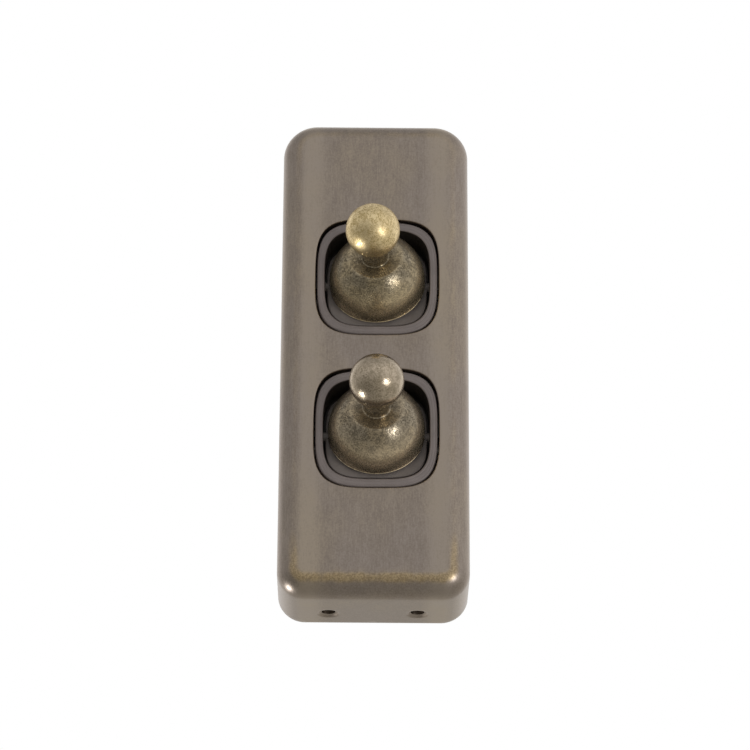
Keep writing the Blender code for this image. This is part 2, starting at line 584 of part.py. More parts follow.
# ---------------------------------------------------------------- moving parts of a mechanism
def make_rocker(name, x, z):
    """See-saw contact that the plunger tips from one end to the other."""
    pivot = bpy.data.objects.new(f"{name}_rocker_axis", None)
    PARTS.objects.link(pivot)
    pivot.location = (x, PIVOT_Y + ROCKER_DEPTH, z)
    pivot.rotation_euler = (math.radians(ROCKER_TILT), 0, 0)
    half = ROCKER_WIDTH / 2
    length = BUTTON_Z + BUTTON_RADIUS
    rocker = box_between(f"{name}_rocker_contact", (-half, -ROCKER_FRONT, -length),
                         (half, -ROCKER_FRONT + ROCKER_THICK, length), PARTS, pivot)
    rib_back = 2 * ROCKER_PIN_RADIUS + GAP
    rib = box_between(f"{name}_rocker_rib", (-half, -ROCKER_FRONT + ROCKER_THICK / 2, -BUTTON_RADIUS),
                      (half, rib_back, BUTTON_RADIUS), None, pivot)
    combine(rocker, rib, "UNION")
    for end in (-1, 1):
        button = rod(f"{name}_rocker_button_{end}", ROCKER_BUTTON_RADIUS, -ROCKER_FRONT + ROCKER_THICK / 2,
                     ROCKER_BUTTON_BACK, "Y", (0, end * BUTTON_Z), None, pivot, 16)
        combine(rocker, button, "UNION")
    bore = rod(f"{name}_rocker_bore", ROCKER_PIN_RADIUS + GAP, -2 * half, 2 * half, "X", (0, 0), None, pivot,
               12)
    combine(rocker, bore)
    finish(rocker, CONTACT_BRASS)


def dolly_profile():
    """Half outline of the toggle, with its length along +Z and its bell's widest section at zero."""
    neck_angle = math.degrees(math.asin(NECK_RADIUS / BALL_RADIUS))
    ball = arc(0, BALL_REACH, BALL_RADIUS, 90, -90 + neck_angle * 1.25, 10)
    bell = arc(0, 0, BELL_RADIUS, BELL_SHOULDER, -math.degrees(math.asin(BELL_RIM / BELL_RADIUS)), 7)
    flare = arc(NECK_RADIUS + FLARE_ROUND, FLARE_HEIGHT, FLARE_ROUND, 180, 262, 4)
    roof = BELL_RADIUS * 0.4
    inside = [(BELL_RADIUS - BELL_WALL + LIP, -BELL_RIM), (BELL_RADIUS - BELL_WALL, -BELL_RIM + LIP),
              (BELL_RADIUS - 2 * BELL_WALL, roof), (SPIGOT_RADIUS, roof)]
    spigot_end = -(BELL_FORWARD + SPIGOT_SEAT - GAP)
    spigot = [(SPIGOT_RADIUS, spigot_end + LIP), (SPIGOT_RADIUS - LIP, spigot_end), (0, spigot_end)]
    return [(max(r, 0), h) for r, h in ball] + flare + bell + inside + spigot


def make_toggle(name, x, z, extra_tilt, lean):
    """Turned toggle, its moulded rotor, and the spring plunger that tips the rocker."""
    pivot = bpy.data.objects.new(f"{name}_toggle_axis", None)
    PARTS.objects.link(pivot)
    pivot.location = (x, PIVOT_Y, z)
    pivot.rotation_euler = (math.radians(-REST_TILT), 0, 0)

    seat = bpy.data.objects.new(f"{name}_toggle_seat", None)
    PARTS.objects.link(seat)
    seat.parent = pivot
    seat.location = (0, -BELL_FORWARD, 0)
    seat.rotation_euler = (math.radians(-extra_tilt), 0, math.radians(lean))
    dolly = turned(f"{name}_dolly", dolly_profile(), 28, seat, rotation=(math.pi / 2, 0, 0))
    finish(dolly, WORN_BRASS, 50)

    plate_back = ROTOR_PLATE - ROTOR_PLATE_FRONT
    outline = squared_circle(ROTOR_HALF_X, ROTOR_HALF_Z, BEZEL_POWER, 36)
    rotor = slab(f"{name}_rotor", outline, -ROTOR_PLATE_FRONT, plate_back, PARTS, pivot)
    hub = rod(f"{name}_hub", HUB_RADIUS, -ROTOR_PLATE_FRONT / 2, HUB_LENGTH, "Y", (0, 0), None, pivot, 24)
    guide = rod(f"{name}_guide", GUIDE_RADIUS, HUB_LENGTH - OVERSHOOT / 2, GUIDE_END, "Y", (0, 0), None,
                pivot)
    combine(rotor, hub, "UNION")
    combine(rotor, guide, "UNION")
    stub_end = BEZEL_HALF_X - GAP
    for hand in (-1, 1):
        inner, outer = sorted((hand * (ROTOR_HALF_X - GAP), hand * stub_end))
        trunnion = rod(f"{name}_trunnion_{hand}", TRUNNION_RADIUS, inner, outer, "X", (0, 0), None, pivot, 16)
        combine(rotor, trunnion, "UNION")
    socket = rod(f"{name}_socket", SPIGOT_RADIUS + SPIGOT_PLAY, -2 * ROTOR_PLATE_FRONT, SPIGOT_SEAT, "Y",
                 (0, 0), None, pivot)
    bore = rod(f"{name}_guide_bore", GUIDE_BORE, GUIDE_FLOOR, GUIDE_END + OVERSHOOT, "Y", (0, 0), None, pivot)
    combine(rotor, socket)
    combine(rotor, bore)
    finish(rotor, RIM_PLASTIC)

    plunger_radius = GUIDE_BORE - GAP
    tip_round = arc(0, 0, plunger_radius, 90, 0, 5)
    length = PLUNGER_TIP - PLUNGER_BACK
    profile = [(r, h - plunger_radius) for r, h in tip_round] + [(plunger_radius, -length), (0, -length)]
    plunger = turned(f"{name}_plunger", profile, 16, pivot, (0, PLUNGER_TIP, 0), (-math.pi / 2, 0, 0))
    finish(plunger, CONTACT_BRASS)
    make_spring(name, pivot, GUIDE_FLOOR + GAP + SPRING_WIRE, PLUNGER_BACK - GAP - SPRING_WIRE)


def make_spring(name, pivot, start, end):
    """Coil of round wire between the guide's floor and the plunger."""
    radius = GUIDE_BORE - GAP - SPRING_WIRE
    per_turn = 10
    count = SPRING_TURNS * per_turn
    wire = bpy.data.curves.new(f"{name}_plunger_spring", "CURVE")
    wire.dimensions = "3D"
    wire.bevel_depth = SPRING_WIRE
    wire.bevel_resolution = 2
    wire.use_fill_caps = True
    spline = wire.splines.new("POLY")
    spline.points.add(count)
    for step, point in enumerate(spline.points):
        angle = 2 * math.pi * step / per_turn
        along = start + (end - start) * step / count
        point.co = (radius * math.cos(angle), along, radius * math.sin(angle), 1)
    spring = bpy.data.objects.new(f"{name}_plunger_spring", wire)
    PARTS.objects.link(spring)
    spring.parent = pivot
    spring.data.materials.append(make_material(spring.name + "_finish", *SCREW_STEEL[1:]))


def build():
    """Cover, base and screws, then each mechanism behind its opening."""
    make_cover()
    make_base()
    make_wall_screws()
    make_cover_screws()
    for (name, _, extra_tilt, lean), (x, z) in zip(MECHANISMS, opening_places()):
        make_bezel(name, x, z)
        make_housing(name, x, z)
        make_clamp_screws(name, x, z)
        make_terminals(name, x, z)
        make_fixed_contacts(name, x, z)
        make_common_contact(name, x, z)
        make_rocker(name, x, z)
        make_toggle(name, x, z, extra_tilt, lean)
    bpy.context.view_layer.update()


build()
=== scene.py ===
# %% [markdown]
# # A two-gang toggle switch in aged brass
# This notebook dresses a narrow wall switch: a cast brass cover with two squared openings, a
# moulded rim in each, and two turned brass toggles. The solids that it starts from are already in
# place and already move. Each step below swaps a plain solid for a finer surface of the same size,
# or gives it a finish. Lengths are in metres, written as millimetres times `MM`.
# The wall is the plane Y = 0, the front faces -Y, +X is to the right and +Z is up.

import json
import math

import bmesh
import bpy
import numpy as np
from mathutils import Matrix, Vector

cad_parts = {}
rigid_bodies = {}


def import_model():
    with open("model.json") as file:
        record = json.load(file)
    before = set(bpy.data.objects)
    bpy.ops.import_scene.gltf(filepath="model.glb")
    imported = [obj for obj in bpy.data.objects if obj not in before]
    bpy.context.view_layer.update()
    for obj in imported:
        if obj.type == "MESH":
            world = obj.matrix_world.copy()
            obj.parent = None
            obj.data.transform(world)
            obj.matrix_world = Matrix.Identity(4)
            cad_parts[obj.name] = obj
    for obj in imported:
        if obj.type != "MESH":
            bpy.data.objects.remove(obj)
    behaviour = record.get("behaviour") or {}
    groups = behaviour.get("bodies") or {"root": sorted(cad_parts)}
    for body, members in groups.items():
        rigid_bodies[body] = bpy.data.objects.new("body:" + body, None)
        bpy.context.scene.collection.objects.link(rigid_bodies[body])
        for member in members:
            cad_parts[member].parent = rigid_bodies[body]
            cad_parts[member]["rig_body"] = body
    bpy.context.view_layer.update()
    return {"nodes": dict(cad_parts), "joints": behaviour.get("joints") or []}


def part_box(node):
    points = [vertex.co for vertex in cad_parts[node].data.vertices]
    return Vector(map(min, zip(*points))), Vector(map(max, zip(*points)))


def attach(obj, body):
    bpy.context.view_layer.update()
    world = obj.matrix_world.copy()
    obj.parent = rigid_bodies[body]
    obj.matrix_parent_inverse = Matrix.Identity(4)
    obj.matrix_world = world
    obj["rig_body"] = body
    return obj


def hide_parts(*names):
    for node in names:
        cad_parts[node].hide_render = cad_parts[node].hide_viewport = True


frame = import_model()
nodes = frame["nodes"]
joints = {joint["name"]: joint for joint in frame["joints"]}

# %% [markdown]
# ## Surfaces from loops
# Most pieces of a switch are one outline carried along a path: a rim is a squared circle that
# grows and shrinks, a screw is a circle that goes down its shank. So one helper does nearly
# everything. It takes a stack of closed loops, each with the same number of points, and lays
# quads between neighbouring loops. A loop whose points all fall on one spot is a pole, and
# merging the doubles closes it.

# %% Loops and meshes
MM = 0.001
MERGE = 0.0005 * MM
SHARP = 35


def band_faces(rows, columns, start=0, closed=True):
    """Quads between neighbouring loops: point (i, j) is number start + i * columns + j."""
    i = np.arange(rows - 1)[:, None]
    j = np.arange(columns if closed else columns - 1)[None, :]
    after = (j + 1) % columns
    corners = (i * columns + j, i * columns + after, (i + 1) * columns + after, (i + 1) * columns + j)
    return start + np.stack(np.broadcast_arrays(*corners), -1).reshape(-1, 4)


def mesh_from(name, bands, attribute=None):
    """One closed mesh from several stacks of loops. Each band is its points (rows, columns, 3), a
    value for each point, and whether its loops close. Shared borders and poles are merged, and the
    faces are turned to point outwards. The values are stored if an attribute is named."""
    points, faces, values, used = [], [], [], 0
    for grid, value, closed in bands:
        rows, columns = grid.shape[:2]
        faces.append(band_faces(rows, columns, used, closed))
        points.append(grid.reshape(-1, 3))
        values.append(np.broadcast_to(value, (rows, columns)).ravel())
        used += rows * columns
    points, faces = np.concatenate(points), np.concatenate(faces)
    mesh = bpy.data.meshes.new(name)
    mesh.from_pydata(points.tolist(), [], faces.tolist())
    if attribute:
        layer = mesh.attributes.new(attribute, "FLOAT", "POINT")
        layer.data.foreach_set("value", np.concatenate(values).astype(np.float32))
    skin = bmesh.new()
    skin.from_mesh(mesh)
    bmesh.ops.remove_doubles(skin, verts=skin.verts, dist=MERGE)
    bmesh.ops.dissolve_degenerate(skin, edges=skin.edges, dist=MERGE)
    bmesh.ops.recalc_face_normals(skin, faces=skin.faces)
    loose = [edge for edge in skin.edges if len(edge.link_faces) != 2]
    if loose:
        first = [round(c / MM, 3) for c in loose[0].verts[0].co]
        print(name, "has", len(loose), "open edges, first at", first)
    skin.to_mesh(mesh)
    skin.free()
    return mesh


def piece_from(name, mesh, sharp=SHARP):
    """A piece at the origin with smooth shading that breaks at edges sharper than an angle."""
    piece = bpy.data.objects.new(name, mesh)
    bpy.context.scene.collection.objects.link(piece)
    mesh.shade_smooth()
    mesh.set_sharp_from_angle(angle=math.radians(sharp))
    return piece


# %% [markdown]
# ## Outlines
# Two outlines serve the front of the switch. The cover is a rectangle with round corners, and
# pulling it inwards by some distance keeps the corners' centres where they are. The openings and
# rims are squared circles: their reach in a direction follows one power law, which gives straight
# sides and soft corners in one stroke.

# %% Outlines
def squared_reach(angles, half_x, half_z, power):
    """Distance from the middle of |x/a|^p + |z/b|^p = 1 to its edge in each direction."""
    across = np.abs(np.cos(angles) / half_x) ** power
    along = np.abs(np.sin(angles) / half_z) ** power
    return (across + along) ** (-1 / power)


def ring(angles, reach, depth, centre):
    """Loop at one depth Y: centre plus reach in each direction of the X-Z plane."""
    x = centre[0] + reach * np.cos(angles)
    z = centre[1] + reach * np.sin(angles)
    return np.stack([x, np.full_like(x, depth), z], -1)


def quarter(radius, count):
    """Sideways and inward steps of a quarter round: r - r*cos(a) and r - r*sin(a), a from 0 to 90."""
    a = np.radians(np.linspace(0, 90, count + 1))
    return radius * (1 - np.cos(a)), radius * (1 - np.sin(a))


# %% [markdown]
# ## The cover's sizes
# The cover is a casting, polished and then aged. Its size is read from the frame, so that the
# fine surface fills exactly the space of the plain one. The rest are the designer's own sizes:
# wall, corner and edge rounds, the openings and the two screw holes in the lower wall.

# %% Sizes read from the frame
cover_low, cover_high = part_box("cover_plate")
COVER_HALF_X = cover_high.x
COVER_HALF_Z = cover_high.z
FACE_Y = cover_low.y
WALL = 2.2 * MM
TOP_CORNER = 7.4 * MM
BOTTOM_CORNER = 5.8 * MM
EDGE_ROUND = 4.7 * MM
OPENING_HALF = (13.18 * MM, 13.53 * MM)
OPENING_POWER = 3.75
OPENING_LIP, OPENING_LIP_STEPS = 0.2 * MM, 4
SCREW_X = 9.3 * MM
SCREW_Y = -5.8 * MM
SCREW_HOLE = 1.45 * MM
DIMPLE = 2.4 * MM
DIMPLE_DEPTH = 0.45 * MM
centres = {}
for gang in ("upper", "lower"):
    low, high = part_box(f"{gang}_bezel")
    centres[gang] = ((low.x + high.x) / 2, (low.z + high.z) / 2)
SPLIT_Z = (centres["upper"][1] + centres["lower"][1]) / 2
print("cover", round(2 * COVER_HALF_X / MM, 1), "x", round(2 * COVER_HALF_Z / MM, 1), "mm")
print("openings at", {gang: tuple(round(c / MM, 2) for c in place) for gang, place in centres.items()})

# %% [markdown]
# ## The cover
# A box with bevels would do for the outside, and a Boolean would cut the openings, but cuts leave
# long thin faces that show in a metal's reflections. So the cover is one skin of loops: from the
# flat face over the rounded edge, down the side wall, round the rim at the wall, and back up
# inside. The flat parts that hold a hole are patches whose loops change from the patch's border
# to the hole's outline. A value called `wear` is stored with the points. It is high where hands
# and cloths rub, just over the turn of the edge, and highest at the bottom.

# %% Cover: outline and profile
CORNER_STEPS = 20
SIDE_STEPS = 30
END_STEPS = 32
EDGE_STEPS, INNER_STEPS, RIM_ROUND_STEPS, WALL_ROWS = 22, 12, 3, 13


def cover_outline(inset):
    """Loop of x and z: straight sides that stay, and corner arcs about fixed centres, of the
    corner's radius less inset. It starts at the left end of the bottom side, anticlockwise."""
    side, end = COVER_HALF_X - inset, COVER_HALF_Z - inset
    turn = np.radians(np.linspace(0, 90, CORNER_STEPS + 1))[1:-1]
    low_x, low_z = COVER_HALF_X - BOTTOM_CORNER, COVER_HALF_Z - BOTTOM_CORNER
    top_x, top_z = COVER_HALF_X - TOP_CORNER, COVER_HALF_Z - TOP_CORNER
    low_r, top_r = BOTTOM_CORNER - inset, TOP_CORNER - inset
    up = np.concatenate([np.linspace(-low_z, SPLIT_Z, SIDE_STEPS + 1)[:-1],
                         np.linspace(SPLIT_Z, top_z, SIDE_STEPS + 1)])
    bottom = np.linspace(-low_x, low_x, END_STEPS + 1)
    top = np.linspace(top_x, -top_x, END_STEPS + 1)
    parts = [(bottom, np.full_like(bottom, -end)),
             (low_x + low_r * np.sin(turn), -low_z - low_r * np.cos(turn)),
             (np.full_like(up, side), up),
             (top_x + top_r * np.cos(turn), top_z + top_r * np.sin(turn)),
             (top, np.full_like(top, end)),
             (-top_x - top_r * np.sin(turn), top_z + top_r * np.cos(turn)),
             (np.full_like(up, -side), up[::-1]),
             (-low_x - low_r * np.cos(turn), -low_z - low_r * np.sin(turn))]
    return np.concatenate([p[0] for p in parts]), np.concatenate([p[1] for p in parts])


def cover_loop(inset, depth):
    """The cover's outline pulled in by inset, at one depth."""
    x, z = cover_outline(inset)
    return np.stack([x, np.full_like(x, depth), z], -1)


def turned_edge(radius, count):
    """Inset and depth along a round edge from the face to the wall, with its angle in degrees."""
    a = np.radians(np.linspace(0, 90, count + 1))
    return EDGE_ROUND - radius * np.sin(a), WALL_TOP - radius * np.cos(a), np.degrees(a)


WALL_TOP = FACE_Y + EDGE_ROUND
RIM_ROUND = 0.25 * MM
wall_depths = np.linspace(WALL_TOP, -RIM_ROUND, WALL_ROWS)
edge_inset, edge_depth, edge_angle = turned_edge(EDGE_ROUND, EDGE_STEPS)
inner_inset, inner_depth, _ = turned_edge(EDGE_ROUND - WALL, INNER_STEPS)
side, inward = quarter(RIM_ROUND, RIM_ROUND_STEPS)

outside = [cover_loop(i, y) for i, y in zip(edge_inset, edge_depth)]
outer_wall = [cover_loop(0, y) for y in wall_depths]
rim = [cover_loop(s, -w) for s, w in zip(side, inward)]
rim += [cover_loop(WALL - s, -w) for s, w in zip(side[::-1], inward[::-1])]
inner_wall = [cover_loop(WALL, y) for y in wall_depths[::-1]]
inside = [cover_loop(i, y) for i, y in zip(inner_inset[::-1], inner_depth[::-1])]
count = sum(len(stretch) for stretch in (outside, outer_wall, rim, inner_wall, inside))
print(count, "loops of", len(outside[0]), "points")


# %% Cover: patches with a hole
PATCH_RINGS = 12
CROWDING = 0.8
THROUGH = np.linspace(0, 1, 5)[1:]


def patch(border, hole_loops, centre, plane):
    """Loops from a patch's border to a hole: p = border*(1-v) + hole*v, then on down the hole.
    Each hole loop is a function of the directions of the border's points from the hole's centre."""
    across, along = plane
    angles = np.arctan2(border[:, along] - centre[1], border[:, across] - centre[0])
    holes = [make(angles)[None] for make in hole_loops]
    v = (np.linspace(0, 1, PATCH_RINGS + 1) ** CROWDING)[:, None, None]
    return np.concatenate([border[None] * (1 - v) + holes[0] * v] + holes[1:])


def face_border(inset, depth, upper):
    """Border of one half of the flat face: the outline on that side, closed along the split."""
    loop = cover_loop(inset, depth)
    keep = loop[:, 2] >= SPLIT_Z - MERGE if upper else loop[:, 2] <= SPLIT_Z + MERGE
    first = np.flatnonzero(keep & ~np.roll(keep, 1))[0]
    half = np.roll(loop, -first, axis=0)[:keep.sum()]
    x = np.linspace(half[-1, 0], half[0, 0], END_STEPS + 1)[1:-1]
    cut = np.stack([x, np.full_like(x, depth), np.full_like(x, SPLIT_Z)], -1)
    return np.concatenate([half, cut])


def opening_ring(centre, wider, depth):
    """Loop of an opening, made wider by some distance, as a function of directions."""
    def make(angles):
        reach = squared_reach(angles, OPENING_HALF[0] + wider, OPENING_HALF[1] + wider, OPENING_POWER)
        return ring(angles, reach, depth, centre)
    return make


def opening_loops(centre):
    """Loops down an opening: a small round at the face, then straight through the wall."""
    away, down = quarter(OPENING_LIP, OPENING_LIP_STEPS)
    places = [(wider, FACE_Y + step) for step, wider in zip(away, down)]
    places += [(0, FACE_Y + WALL * share) for share in THROUGH]
    return [opening_ring(centre, wider, depth) for wider, depth in places]


def wall_border(depths, inset, side_of):
    """Border of half the lower wall, from the middle to one corner, as a rectangle of points."""
    z = -(COVER_HALF_Z - inset)
    x = np.linspace(0, side_of * (COVER_HALF_X - BOTTOM_CORNER), END_STEPS // 2 + 1)
    walk = [(v, depths[0]) for v in x] + [(x[-1], d) for d in depths[1:]]
    walk += [(v, depths[-1]) for v in x[::-1][1:]] + [(0, d) for d in depths[::-1][1:-1]]
    return np.array([(v, d, z) for v, d in walk])


def hole_ring(radius, z, x):
    """Round loop of a hole through the lower wall, as a function of directions."""
    def make(angles):
        across, along = x + radius * np.cos(angles), SCREW_Y + radius * np.sin(angles)
        return np.stack([across, along, np.full_like(angles, z)], -1)
    return make


# %% Cover: put it together
WEAR_ANGLE, WEAR_SPREAD = 16, 15
WEAR_LOW, WEAR_HIGH, WEAR_FADE = 14 * MM, 12 * MM, 10 * MM


def edge_wear(grid, angle):
    """Wear of the rounded edge: a bell curve some degrees past the face's end, stronger low down."""
    low_down = np.clip((-grid[..., 2] - COVER_HALF_Z + WEAR_LOW) / WEAR_FADE, 0, 1)
    top = np.clip((grid[..., 2] - COVER_HALF_Z + WEAR_HIGH) / WEAR_FADE, 0, 1)
    across_edge = np.exp(-((angle - WEAR_ANGLE) / WEAR_SPREAD) ** 2)[:, None]
    return across_edge * (0.30 + 0.70 * low_down + 0.12 * top)


def drop_faces(count, first, last):
    """Columns of an open band that leave out the stretch from first to last."""
    return np.r_[np.arange(last, count), np.arange(0, first + 1)]


edge = np.stack(outside)
bands = [(edge, edge_wear(edge, edge_angle), True),
         (np.stack([outer_wall[-1]] + rim + [inner_wall[0]]), 0.0, True),
         (np.stack(inside), 0.0, True)]
others = drop_faces(len(outside[0]), 0, END_STEPS)
for wall in (outer_wall, inner_wall):
    bands.append((np.stack(wall)[:, others], 0.0, False))
for gang, upper in (("upper", True), ("lower", False)):
    loops = opening_loops(centres[gang])
    front = patch(face_border(EDGE_ROUND, FACE_Y, upper), loops, centres[gang], (0, 2))
    fade = np.zeros(front.shape[:2])
    fade[0] = edge_wear(front[0][None], np.zeros(1))[0]
    bands.append((front, fade, True))
    back = patch(face_border(EDGE_ROUND, FACE_Y + WALL, upper), loops[-1:], centres[gang], (0, 2))
    bands.append((back, 0.0, True))
for side_of in (-1, 1):
    x = side_of * SCREW_X
    z = -COVER_HALF_Z
    slope = np.linspace(0, 1, 9)
    dimple = [(DIMPLE + (SCREW_HOLE - DIMPLE) * t, z + DIMPLE_DEPTH * t * t * (3 - 2 * t)) for t in slope]
    bore = [(SCREW_HOLE, z + DIMPLE_DEPTH + (WALL - DIMPLE_DEPTH) * share) for share in THROUGH]
    loops = [hole_ring(r, h, x) for r, h in dimple + bore]
    for inset, hole in ((0, loops), (WALL, loops[-1:])):
        lower_wall = patch(wall_border(wall_depths, inset, side_of), hole, (x, SCREW_Y), (0, 1))
        bands.append((lower_wall, 0.0, True))
cover = piece_from("cover_plate_cast", mesh_from("cover_plate_cast", bands, "wear"), 50)
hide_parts("cover_plate")
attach(cover, "switch_body")
print("cover has", len(cover.data.polygons), "faces")

# %% [markdown]
# ## The moulded rims
# A rim covers the raw edge of each opening and carries the toggle's bearings. It is one closed
# profile, a band with round edges and a slightly crowned face, carried round a squared circle.
# At its back a thin lip turns inwards and closes the gap beside the switch's box. Two clip legs at
# the back and two bearing holes, which stop short of the outside, are joined and cut with
# Booleans, where nobody sees the long faces that those leave. A value called `well` is stored as
# well: 1 on the inner walls at the top and the sides, where the finish paints a nearly black shade.

# %% Rims
RIM_POWER = 3.6
BAND = (1.65 * MM, 1.9 * MM)
RIM_LENGTH = 8.5 * MM
LEG_LOW, LEG_HIGH, LEG_HALF, LEG_ROOT = 11.3 * MM, 12.5 * MM, 2.5 * MM, 2 * MM
BEARING = 1.3 * MM
BEARING_WALL = 0.12 * MM
LIP, LIP_REACH = 0.2 * MM, 0.21
RIM_STEPS = 144
RIM_EDGE, RIM_CROWN = 0.42 * MM, 0.07 * MM
INNER_SHARE, WELL_FROM, WELL_FADE = 0.96, -0.75, 0.35
BAR_COLUMNS = 40


def boolean(piece, tools, operation):
    """Cut tools out of a piece, or join them on, and keep only the result."""
    for tool in tools:
        step = piece.modifiers.new(tool.name, "BOOLEAN")
        step.object = tool
        step.operation = operation
        step.solver = "EXACT"
    evaluated = piece.evaluated_get(bpy.context.evaluated_depsgraph_get())
    mesh = bpy.data.meshes.new_from_object(evaluated)
    piece.modifiers.clear()
    piece.data = mesh
    for tool in tools:
        bpy.data.objects.remove(tool, do_unlink=True)
    return piece


def block(name, low, high):
    """Plain cutting or joining block between two corners."""
    shape = bmesh.new()
    size = [b - a for a, b in zip(low, high)]
    middle = Vector([(a + b) / 2 for a, b in zip(low, high)])
    bmesh.ops.create_cube(shape, size=1.0, matrix=Matrix.Translation(middle) @ Matrix.Diagonal((*size, 1.0)))
    mesh = bpy.data.meshes.new(name)
    shape.to_mesh(mesh)
    shape.free()
    tool = bpy.data.objects.new(name, mesh)
    bpy.context.scene.collection.objects.link(tool)
    return tool


def bar(name, radius, start, end, through):
    """Round bar along X from start to end; through gives its Y and Z."""
    a = np.linspace(0, 2 * math.pi, BAR_COLUMNS, endpoint=False)
    rows = [(start, 0), (start, radius), (end, radius), (end, 0)]
    y, z = through
    loops = [np.stack([np.full_like(a, x), y + r * np.cos(a), z + r * np.sin(a)], -1) for x, r in rows]
    tool = bpy.data.objects.new(name, mesh_from(name, [(np.stack(loops), 0.0, True)]))
    bpy.context.scene.collection.objects.link(tool)
    return tool


def rim_section(front, back):
    """Band profile as shares of its width f and depths y: sides straight, edges round, face crowned."""
    middle = (BAND[0] + BAND[1]) / 2
    r = RIM_EDGE
    a = np.radians(np.linspace(0, 90, 7))
    outer = [(r * (1 - math.sin(t)) / middle, front + r * (1 - math.cos(t))) for t in a[::-1]]
    inner = [(1 - f, y) for f, y in outer[::-1]]
    f = np.linspace(outer[-1][0], inner[0][0], 9)[1:-1]
    crown = [(v, front + RIM_CROWN * (1 - math.sin(math.pi * (v - f[0]) / (f[-1] - f[0])))) for v in f]
    down = np.linspace(front + r, back, 9)[1:]
    well = [(1, y) for y in np.linspace(front + r, back - LIP, 9)[1:]]
    lip = [(1 + LIP_REACH, back - LIP), (1 + LIP_REACH, back)]
    return [(0, y) for y in down[::-1]] + outer + crown + inner + well + lip + [(0, back)]


angles = np.linspace(0, 2 * math.pi, RIM_STEPS, endpoint=False)
rims = {}
for gang, centre in centres.items():
    low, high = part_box(f"{gang}_bezel")
    half = ((high.x - low.x) / 2, (high.z - low.z) / 2)
    hinge = joints[f"{gang}_toggle_hinge"]["pos_m"]
    back = low.y + RIM_LENGTH
    section = rim_section(low.y, back)
    loops = []
    for f, y in section:
        reach = squared_reach(angles, half[0] - f * BAND[0], half[1] - f * BAND[1], RIM_POWER)
        loops.append(ring(angles, reach, y, centre))
    inner_side = np.array([f > INNER_SHARE for f, _ in section], float)[:, None]
    # Painted shade: 1 on the inner walls at the top and the sides, fading out towards the bottom.
    well = inner_side * np.clip((np.sin(angles) - WELL_FROM) / WELL_FADE, 0, 1)
    piece = piece_from(f"{gang}_rim", mesh_from(f"{gang}_rim", [(np.stack(loops), well, True)], "well"))
    legs = []
    for hand in (-1, 1):
        near, far = sorted((centre[0] + hand * LEG_LOW, centre[0] + hand * LEG_HIGH))
        legs.append(block(f"leg_{hand}", (near, back - LEG_ROOT, centre[1] - LEG_HALF),
                          (far, high.y, centre[1] + LEG_HALF)))
    boolean(piece, legs, "UNION")
    reach = half[0] - BEARING_WALL
    boolean(piece, [bar("bearing", BEARING, centre[0] - reach, centre[0] + reach, hinge[1:])], "DIFFERENCE")
    piece.data.set_sharp_from_angle(angle=math.radians(SHARP))
    rims[gang] = piece
    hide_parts(f"{gang}_bezel")
    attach(piece, "switch_body")
    print(piece.name, len(piece.data.polygons), "faces")

# %% [markdown]
# ## Pieces that tilt
# A toggle, its rotor, its plunger and its spring share one hinge. Each is made upright about its
# own axis, where its formula is simple, and its mesh is then laid into place with one matrix: the
# rest tilt about the hinge, and for the turned toggle a small lean in its hub as well. The object
# itself stays at the origin, so its pattern stays on it.

# %% Places of the tilting pieces
REST_TILT = math.radians(12)
SEAT = 2.8 * MM
LEANS = {"upper": (-0.5, -3.5), "lower": (0.8, -0.3)}
on_hinge, on_seat = {}, {}
for gang, (up, aside) in LEANS.items():
    at = Vector(joints[f"{gang}_toggle_hinge"]["pos_m"])
    on_hinge[gang] = Matrix.Translation(at) @ Matrix.Rotation(-REST_TILT, 4, "X")
    leaned = Matrix.Rotation(math.radians(aside), 4, "Z") @ Matrix.Rotation(-math.radians(up), 4, "X")
    forwards = Matrix.Rotation(math.pi / 2, 4, "X")
    on_seat[gang] = on_hinge[gang] @ Matrix.Translation((0, -SEAT, 0)) @ leaned @ forwards


def turned(profile, columns):
    """Solid of revolution: profile of radius and height, carried round Z: (r cos a, r sin a, h)."""
    profile = np.asarray(profile, float)
    a = np.linspace(0, 2 * math.pi, columns, endpoint=False)
    r, h = profile[:, :1], profile[:, 1:]
    return np.stack([r * np.cos(a), r * np.sin(a), h + 0 * a], -1)


def arc(cx, cy, radius, start, end, count):
    """Points on a circle from one angle to another, in degrees."""
    a = np.radians(np.linspace(start, end, count + 1))
    return list(zip(cx + radius * np.cos(a), cy + radius * np.sin(a)))


def curve_between(p0, t0, p1, t1, count):
    """Cubic between two points with given end directions: Hermite blend of positions and tangents."""
    t = np.linspace(0, 1, count + 1)[1:-1, None]
    p0, t0, p1, t1 = (np.asarray(v, float) for v in (p0, t0, p1, t1))
    return [tuple(p) for p in (2 * t**3 - 3 * t**2 + 1) * p0 + (t**3 - 2 * t**2 + t) * t0
            + (3 * t**2 - 2 * t**3) * p1 + (t**3 - t**2) * t1]
